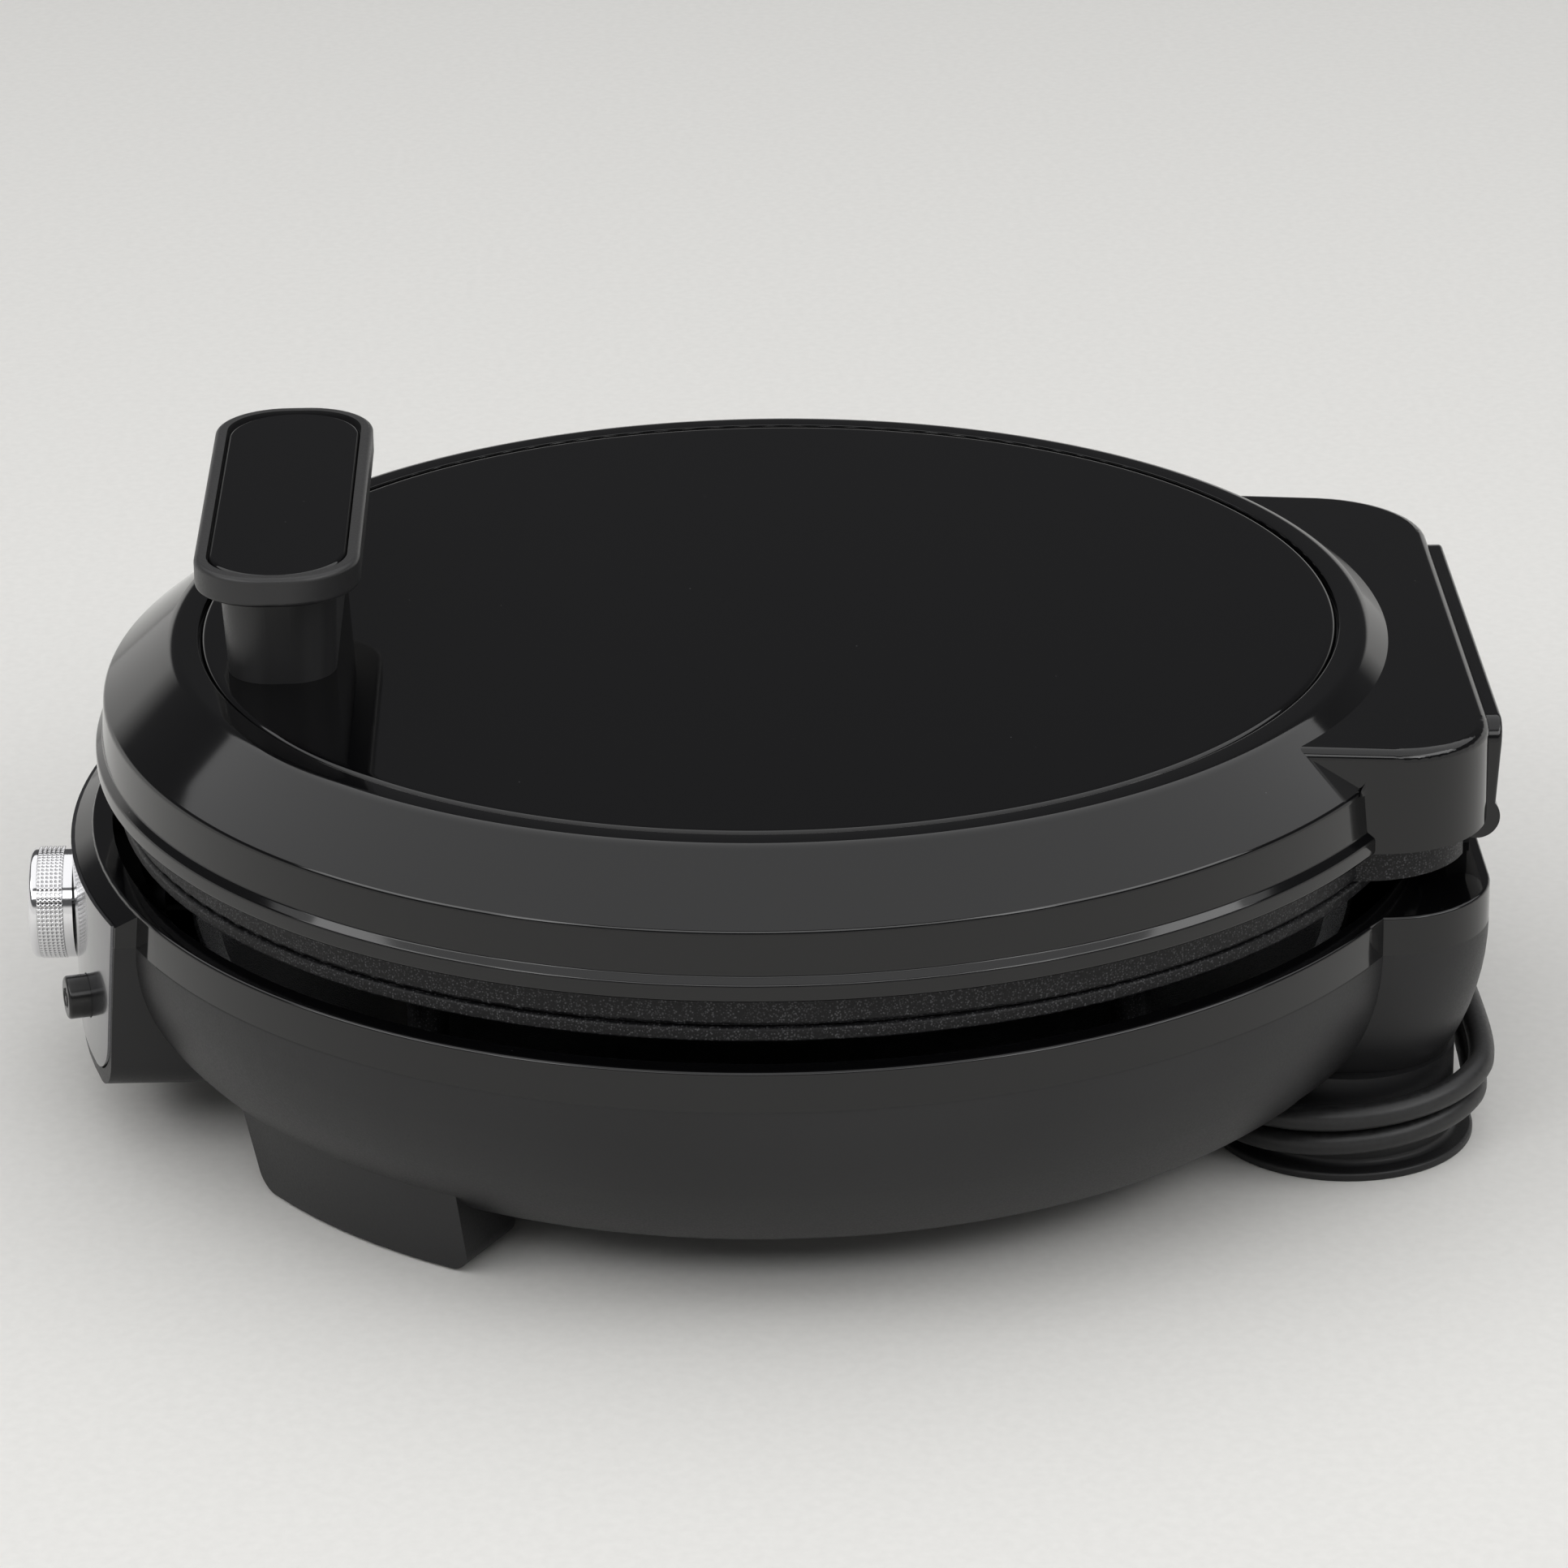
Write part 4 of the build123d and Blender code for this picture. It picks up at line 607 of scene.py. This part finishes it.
def knob_knurl():
    """Sleeve with rows of round dimples round the knob. Its radius is the knob's plus a thin
    sleeve, less a dimple wherever the cosines round the knob and along it are both near their
    peak, and it sinks into the knob at both ends."""
    around = round(2 * pi * KNOB_RADIUS / KNURL_PITCH)
    along = round(KNURL_LENGTH / KNURL_PITCH)
    angle = np.linspace(0, 2 * pi, around * DIMPLE_STEPS, endpoint=False)[None, :]
    run = np.linspace(0, 1, along * DIMPLE_STEPS + 1)[:, None]
    wave = (1 + np.cos(angle * around)) * (1 - np.cos(run * 2 * pi * along)) / 4
    rim, bottom = DIMPLE_WAVE
    dimple = np.clip((wave - rim) / (bottom - rim), 0, 1)
    edge = np.clip(np.minimum(run, 1 - run) * along / SLEEVE_RISE, 0, 1)
    sleeve = KNOB_RADIUS - KNURL_SINK + (KNURL_PROUD + KNURL_SINK) * edge
    radius = sleeve - KNURL_DEPTH * dimple * edge
    low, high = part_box("thermostat_knob")
    y = low.y + KNURL_START + KNURL_LENGTH * run + 0 * angle
    x = KNOB_MIDDLE.x + radius * np.sin(angle)
    z = KNOB_MIDDLE.z + radius * np.cos(angle)
    vertices = np.stack([x, y, z], axis=-1).reshape(-1, 3)
    faces = grid_faces(along * DIMPLE_STEPS + 1, around * DIMPLE_STEPS, wrap=True)
    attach(new_mesh("knob_knurl", vertices, faces, knob_finish), "knob")


def button_sign():
    """Raised ring with a gap at the top and an upright bar in it, on the face of the button."""
    outward = Vector((sin(BUTTON_ANGLE), -cos(BUTTON_ANGLE), 0))
    beside = np.array((cos(BUTTON_ANGLE), sin(BUTTON_ANGLE), 0))
    up = np.array(UP)
    foot = Vector(PLATE_AXIS) + outward * BUTTON_FACE_REACH
    middle = np.array(foot + Vector((0, 0, BUTTON_LEVEL)))
    turn = np.linspace(SIGN_OPENING, 2 * pi - SIGN_OPENING, 48)[:, None]
    ring = middle + SIGN_RADIUS * (np.sin(turn) * beside + np.cos(turn) * up)
    bar = middle + np.linspace(*SIGN_BAR, 5)[:, None] * SIGN_RADIUS * up
    rods = [round_rod(path, SIGN_LINE, outward) for path in (ring, bar)]
    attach(new_mesh("button_sign", *joined(rods), button_finish), "button")


def dial_ticks():
    """Short printed strokes round the knob on the bowed panel. Each is a strip between two
    distances from the knob's axis, laid on the panel's round face; every fifth is longer."""
    angle = np.linspace(-DIAL_SWEEP / 2, DIAL_SWEEP / 2, TICK_COUNT)
    length = np.where(np.arange(TICK_COUNT) % TICK_GROUP == 0, TICK_LONG, TICK_SHORT)
    inner = np.full(TICK_COUNT, KNOB_RADIUS + TICK_GAP)
    run = np.stack([inner, inner, inner + length, inner + length], axis=-1)
    width = np.array([-1, 1, 1, -1]) * TICK_WIDTH / 2
    spoke = np.stack([np.sin(angle), np.cos(angle)], axis=-1)[:, None, :]
    beside = np.stack([np.cos(angle), -np.sin(angle)], axis=-1)[:, None, :]
    flat = run[..., None] * spoke + width[None, :, None] * beside
    x = flat[..., 0]
    y = PLATE_AXIS_Y - np.sqrt((PANEL_FACE_RADIUS + INK_THICKNESS) ** 2 - x ** 2)
    vertices = np.stack([x, y, KNOB_MIDDLE.z + flat[..., 1]], axis=-1).reshape(-1, 3)
    faces = np.arange(4 * TICK_COUNT).reshape(-1, 4)
    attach(new_mesh("dial_ticks", vertices, faces, ink_finish, smooth=False), "base")


# Round gloss mouldings, finer than the frame's own facets

def cover_profile():
    """Lip, band, shoulder and rim of the round lid, from its mouth to the groove of the disc."""
    low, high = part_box("lid_shell")
    lip = high.x
    band_foot = low.z + LIP_HEIGHT + LIP_CHAMFER
    corners = (
        (lip - LIP_DEPTH, low.z),
        (lip, low.z),
        (lip, low.z + LIP_HEIGHT),
        (lip - BAND_INSET, band_foot),
        (lip - BAND_INSET - BAND_LEAN, band_foot + BAND_HEIGHT),
        (lip - BAND_INSET - BAND_LEAN - SHOULDER_WIDTH, high.z),
        (DISC_RADIUS + DISC_GAP, high.z),
        (DISC_RADIUS + DISC_GAP, high.z - DISC_GROOVE_DEPTH),
    )
    return proud_of(rounded_profile(corners, COVER_ROUNDINGS), SKIN)


def lid_cover():
    """The cover's profile carried once round the lid's axis."""
    surface = turned(cover_profile(), PLATE_AXIS, UP, (1, 0, 0))
    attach(new_mesh("lid_cover", *surface, lid_finish), "lid")


def lid_block_fillets():
    """Hollow roundings where the round cover meets the upright sides of the rear block. Along
    the corner line, the arc's middle lies off the corner along the sum of both normals, divided
    by one plus their product, and the arc runs from one surface's normal to the other's."""
    profile = cover_profile()
    kept = (profile[:, 1] < FILLET_TOP) & (profile[:, 1] > FILLET_FOOT)
    slope = np.gradient(profile, axis=0)[kept]
    slope /= np.linalg.norm(slope, axis=1)[:, None]
    radius, level = profile[kept].T
    reach = np.sqrt(radius ** 2 - BLOCK_HALF_WIDTH ** 2)
    corner = np.stack([0 * reach + BLOCK_HALF_WIDTH, reach, level], axis=-1)
    outward = slope[:, 1] / radius
    cover = np.stack([outward * BLOCK_HALF_WIDTH, outward * reach, -slope[:, 0]], axis=-1)
    side = np.array([1.0, 0, 0])
    size = FILLET_RADIUS * np.clip((FILLET_TOP - level) / FILLET_RUN_OUT, 0.1, 1)[:, None]
    middle = corner + size * (side + cover) / (1 + cover @ side)[:, None]
    share = np.linspace(0, 1, FILLET_STEPS)[None, :, None]
    normal = (1 - share) * cover[:, None, :] + share * side
    normal /= np.linalg.norm(normal, axis=2)[..., None]
    arc = middle[:, None, :] - size[:, None, :] * normal
    right = (arc + np.array(PLATE_AXIS)).reshape(-1, 3)
    left = right * np.array([-1, 1, 1])
    faces = grid_faces(len(level), FILLET_STEPS)
    surface = joined([(right, faces[:, ::-1]), (left, faces)])
    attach(new_mesh("lid_block_fillets", *surface, lid_finish), "lid")


def lid_top_disc():
    """Gloss disc in the lid, with a rounded edge that catches a bright line."""
    low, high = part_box("lid_disc")
    corners = ((DISC_RADIUS, low.z), (DISC_RADIUS, high.z), (DISC_RADIUS - DISC_RIM, high.z))
    profile = rounded_profile(corners, [DISC_ROUNDING])
    vertices, _ = turned(profile, PLATE_AXIS, UP, (1, 0, 0))
    faces = capped(len(profile), ROUND_SEGMENTS)
    disc = new_mesh("lid_top_disc", vertices, faces, disc_finish)
    for polygon in disc.data.polygons[-2:]:
        polygon.use_smooth = False
    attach(disc, "lid")
    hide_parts("lid_disc")


def handle_top_inlay():
    """Gloss slab in the top of the grip, with a rounded rim that catches a bright line."""
    middle, size = box_of("handle_inlay")
    base = (middle.x, middle.y, middle.z - size.z / 2)
    corner = min(size.x, size.y) / 2 - INLAY_FLAT / 2
    slab = round_slab(base, size, corner, INLAY_ROUNDING, sides=24)
    inlay = new_mesh("handle_top_inlay", *slab, disc_finish)
    inlay.data.polygons[-1].use_smooth = False
    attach(inlay, "lid")
    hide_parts("handle_inlay")


def trim_rings():
    """Wall, top land and throat of the gloss ring, on both sides between the blocks, and under it
    a narrow upright band of painted shadow for the gap of its joint."""
    low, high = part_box("base_trim")
    wall = high.x
    corners = (
        (wall, low.z + JOINT_RISE),
        (wall, high.z),
        (wall - LAND_WIDTH, high.z),
        (wall - LAND_WIDTH - THROAT_WIDTH, high.z - THROAT_DEPTH),
    )
    ring = proud_of(rounded_profile(corners, TRIM_ROUNDINGS), SKIN)
    # The joint is a near-black band of painted shadow, where the gap under the trim falls into
    # shade.
    joint = np.array([(wall + SKIN, low.z - JOINT_DROP), (wall + SKIN, low.z + JOINT_RISE)])
    for name, profile, finish in (
            ("trim_rings", ring, trim_finish), ("trim_seams", joint, recess_finish)):
        sides = []
        for side in (-1, 1):
            begin, end = sorted((side * (pi / 2 - TRIM_FRONT), side * (pi / 2 + TRIM_REAR)))
            sides.append(turned(profile, PLATE_AXIS, UP, (0, -1, 0), begin, end, TRIM_SEGMENTS))
        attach(new_mesh(name, *joined(sides), finish), "base")


# Lead

def half_turn(side, radius, front_level, rear_level):
    """Control points of half a turn round a foot: corners of a polygon whose sides touch the
    tilted half circle, from the front to the rear on the right, and back on the left."""
    step = pi / TURN_POINTS
    angle = -pi / 2 + step * (np.arange(TURN_POINTS) + 0.5)
    reach = radius / cos(step / 2)
    x = side * (FOOT_OFFSET + reach * np.cos(angle))
    y = FOOT_REACH + reach * np.sin(angle)
    tilt = (rear_level - front_level) / 2
    z = front_level + tilt + tilt * reach / radius * np.sin(angle)
    points = np.stack([x, y, z], axis=-1)
    return points if side > 0 else points[::-1]


def shift_run(start, end):
    """Control points that move the lead over between two parallel runs."""
    (x0, y0, z0), (x1, y1, z1) = start, end
    return np.array([(x0 + (x1 - x0) / 4, y0, z0), (x1 - (x1 - x0) / 4, y1, z1)])


def lead_points():
    """Control points of the lead, from the plates' axis: straight out of the strain relief,
    round the right foot, the left foot and the right foot again, then the free end."""
    first, left, second = WINDING_RADII
    high, low = WINDING_HIGH, WINDING_HIGH - WINDING_PITCH
    drop = WINDING_DROP
    right, far = FOOT_OFFSET, -FOOT_OFFSET
    x, y, z = far - RELIEF_RUN, FOOT_REACH + second, low
    free_end = np.array([
        (x, y, z),
        (x - 30 * MM, y, z),
        (x - 62 * MM, y - 3 * MM, SURFACE + 1.5 * MM),
        (x - 94 * MM, y - 13 * MM, SURFACE),
        (x - 122 * MM, y - 29 * MM, SURFACE + 0.1 * MM),
        (PLUG_X, y - 53 * MM, PLUG_LEVEL),
        (PLUG_X, y - PLUG_RUN, PLUG_LEVEL),
    ])
    run_in = (RELIEF_RUN, GLAND_REACH, GLAND_LEVEL)
    return np.concatenate([
        [(0, GLAND_REACH, GLAND_LEVEL), run_in],
        shift_run(run_in, (right, FOOT_REACH - first, high - drop)),
        half_turn(1, first, high - drop, high),
        shift_run((right, FOOT_REACH + first, high), (far, FOOT_REACH + left, high)),
        half_turn(-1, left, low - drop, high),
        shift_run((far, FOOT_REACH - left, low - drop), (right, FOOT_REACH - second, low - drop)),
        half_turn(1, second, low - drop, low),
        [(0, FOOT_REACH + second, low)],
        free_end,
    ])


def lead():
    """The whole lead as one spline tube, from the strain relief to the plug."""
    points = lead_points() + np.array(PLATE_AXIS)
    curve = bpy.data.curves.new("lead", "CURVE")
    curve.dimensions = "3D"
    spline = curve.splines.new("NURBS")
    spline.points.add(len(points) - 1)
    for slot, point in zip(spline.points, points):
        slot.co = (*point, 1)
    spline.order_u = 3
    spline.use_endpoint_u = True
    spline.resolution_u = 10
    curve.bevel_depth = CORD_DIAMETER / 2
    curve.bevel_resolution = 6
    curve.use_fill_caps = True
    curve.materials.append(sheath_finish)
    piece = bpy.data.objects.new("lead", curve)
    bpy.context.scene.collection.objects.link(piece)
    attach(piece, "base")
    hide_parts("cord_winding", "cord_tail")
    plug_pieces = ["power_plug", "plug_pins"] + [extra.name for extra in plug_details()]


def ribbed_sleeve(name, origin, axis, across, radii, length, ribs, rise):
    """Tapered sleeve with half-round ribs: its radius is the taper plus a rectified sine."""
    root, tip = radii
    run = np.linspace(0, 1, ribs * 16 + 1)
    wave = np.clip(np.sin(run * pi * (2 * ribs - 1)), 0, 1) ** 0.6
    profile = np.stack([root + (tip - root) * run + rise * wave, length * run], axis=-1)
    surface = turned(profile, origin, axis, across, segments=64)
    return new_mesh(name, *surface, sheath_finish)


def relief_ribs():
    """Ribs of the strain relief between the gland and the first run of the lead."""
    middle, size = box_of("strain_relief")
    origin = (middle.x - size.x / 2 + RELIEF_START, middle.y, middle.z)
    sleeve = ribbed_sleeve(
        "relief_ribs", origin, (1, 0, 0), UP, RELIEF_RADII, RELIEF_LENGTH, RELIEF_RIBS, RELIEF_RISE)
    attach(sleeve, "base")


def plug_details():
    """Pin sleeves, fuse carrier and neck ribs of the moulded plug, whose pins point up."""
    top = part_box("power_plug")[1].z
    pins_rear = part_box("plug_pins")[1].y
    width, depth = LIVE_PIN_SECTION
    sleeve_size = (width + PIN_SLEEVE_WALL, depth + PIN_SLEEVE_WALL, PIN_SLEEVE_LENGTH)
    sleeves = []
    for side in (-1, 1):
        centre = (PLUG_X + side * LIVE_PIN_OFFSET, pins_rear - depth / 2, top)
        sleeves.append(round_slab(centre, sleeve_size, *PIN_SLEEVE_ROUNDINGS))
    carrier_foot = (PLUG_X, pins_rear - CARRIER_SETBACK, top)
    carrier = round_slab(carrier_foot, CARRIER_SIZE, *CARRIER_ROUNDINGS)
    front = PLATE_AXIS_Y + FOOT_REACH + WINDING_RADII[2] - PLUG_RUN
    neck_origin = (PLUG_X, front - NECK_START, PLUG_LEVEL)
    extras = [
        new_mesh("pin_sleeves", *joined(sleeves), plug_finish),
        new_mesh("fuse_carrier", *carrier, rubber_finish),
        ribbed_sleeve("neck_ribs", neck_origin, (0, 1, 0), (1, 0, 0), NECK_RADII, NECK_LENGTH,
                      NECK_RIBS, NECK_RISE),
    ]
    for extra in extras:
        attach(extra, "base")
    return extras


def screw_crosses():
    """Cross recesses in the screw heads that face down: two crossing bars as one outline."""
    arm, bar = CROSS_LENGTH / 2, CROSS_WIDTH / 2
    plan = np.array([
        (arm, -bar), (arm, bar), (bar, bar), (bar, arm), (-bar, arm), (-bar, bar),
        (-arm, bar), (-arm, -bar), (-bar, -bar), (-bar, -arm), (bar, -arm), (bar, -bar),
    ])
    outline = np.column_stack([plan, np.full(len(plan), -INK_THICKNESS)])
    low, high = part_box("base_screws")
    reach = high.x - SCREW_HEAD_RADIUS
    places = [(sx * reach, PLATE_AXIS_Y + sy * reach, low.z) for sx in (-1, 1) for sy in (-1, 1)]
    foot_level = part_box("rear_foot_screws")[0].z
    places += [(side * FOOT_OFFSET, PLATE_AXIS_Y + FOOT_REACH, foot_level) for side in (-1, 1)]
    vertices = (np.array(places)[:, None, :] + outline).reshape(-1, 3)
    faces = np.arange(len(vertices)).reshape(-1, len(plan))[:, ::-1]
    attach(new_mesh("screw_crosses", vertices, faces, recess_finish, smooth=False), "base")


# Camera, floor and light

CAMERA_PLACE = Vector((1.4768, -0.0260 + PLATE_AXIS_Y, 0.6810))
CAMERA_HEADING = radians(1.14)
CAMERA_PITCH = radians(22.45)
CAMERA_ROLL = radians(-0.72)
FOCAL_PIXELS = 7801
PHOTO_PIXELS = 1932
SENSOR_MM = 36.0
FLOOR_RADIUS = 1.9
BACKDROP_TOP = radians(10)
ROOM_START = radians(15)
OBJECT_MIDDLE = (0, 0, 0.06)
LAMPS = {
    # name: place, size, radiance, where it aims
    "overhead_softbox": ((-0.3, 0, 1.6), (3.0, 4.6), 1.05, (-0.3, 0, 0)),
    "camera_side_strip": ((2.0, 0, 1.6), (4.4, 0.7), 2.4, OBJECT_MIDDLE),
    "front_strip": ((1.0, -1.9, 1.6), (2.2, 0.8), 2.4, OBJECT_MIDDLE),
    "rear_strip": ((1.0, 1.9, 1.6), (2.2, 0.8), 2.4, OBJECT_MIDDLE),
}


def photograph_camera():
    """Camera at the photograph's place, looking along its heading and down by its pitch."""
    data = bpy.data.cameras.new("photograph_camera")
    data.sensor_width = SENSOR_MM
    data.lens = FOCAL_PIXELS / PHOTO_PIXELS * SENSOR_MM
    data.clip_end = 100
    camera = bpy.data.objects.new("photograph_camera", data)
    bpy.context.scene.collection.objects.link(camera)
    level = Vector((sin(CAMERA_HEADING), cos(CAMERA_HEADING), 0))
    forward = Vector((-cos(CAMERA_HEADING), sin(CAMERA_HEADING), 0))
    ahead = forward * cos(CAMERA_PITCH) - Vector(UP) * sin(CAMERA_PITCH)
    above = level.cross(ahead)
    right = level * cos(CAMERA_ROLL) + above * sin(CAMERA_ROLL)
    turn = Matrix((right, right.cross(ahead), -ahead)).transposed().to_4x4()
    camera.matrix_world = Matrix.Translation(CAMERA_PLACE) @ turn
    bpy.context.scene.camera = camera


def floor():
    """Disc of pale seamless paper under the object."""
    angle = np.linspace(0, 2 * pi, 96, endpoint=False)
    rim = FLOOR_RADIUS * np.stack([np.cos(angle), np.sin(angle), 0 * angle], axis=-1)
    new_mesh("floor", rim, [range(len(rim))], paper_finish)


def softbox(name, place, size, radiance, aim):
    """Rectangular area lamp that faces a point; radiance 1 looks white."""
    data = bpy.data.lights.new(name, "AREA")
    data.shape = "RECTANGLE"
    data.size, data.size_y = size
    data.energy = radiance * pi * size[0] * size[1]
    lamp = bpy.data.objects.new(name, data)
    lamp.location = place
    lamp.rotation_euler = (Vector(aim) - Vector(place)).to_track_quat("-Z", "Y").to_euler()
    bpy.context.scene.collection.objects.link(lamp)


def studio():
    """A pale backdrop as high as the camera sees it, a dim room above it and soft lamps."""
    bpy.context.scene.view_settings.view_transform = "Standard"
    world = bpy.data.worlds.new("studio")
    world.use_nodes = True
    bpy.context.scene.world = world
    tree = world.node_tree
    direction = add(tree, "ShaderNodeTexCoord").outputs["Generated"]
    height = add(tree, "ShaderNodeSeparateXYZ", {"Vector": direction}).outputs["Z"]
    two_tones(tree, tree.nodes["Background"], height, "#dddcda", "#525253",
              low=sin(BACKDROP_TOP), high=sin(ROOM_START), socket="Color")
    for name, setting in LAMPS.items():
        softbox(name, *setting)


photograph_camera()
floor()
studio()
knob_knurl()
button_sign()
dial_ticks()
lid_cover()
lid_block_fillets()
lid_top_disc()
handle_top_inlay()
trim_rings()
relief_ribs()
lead()
screw_crosses()
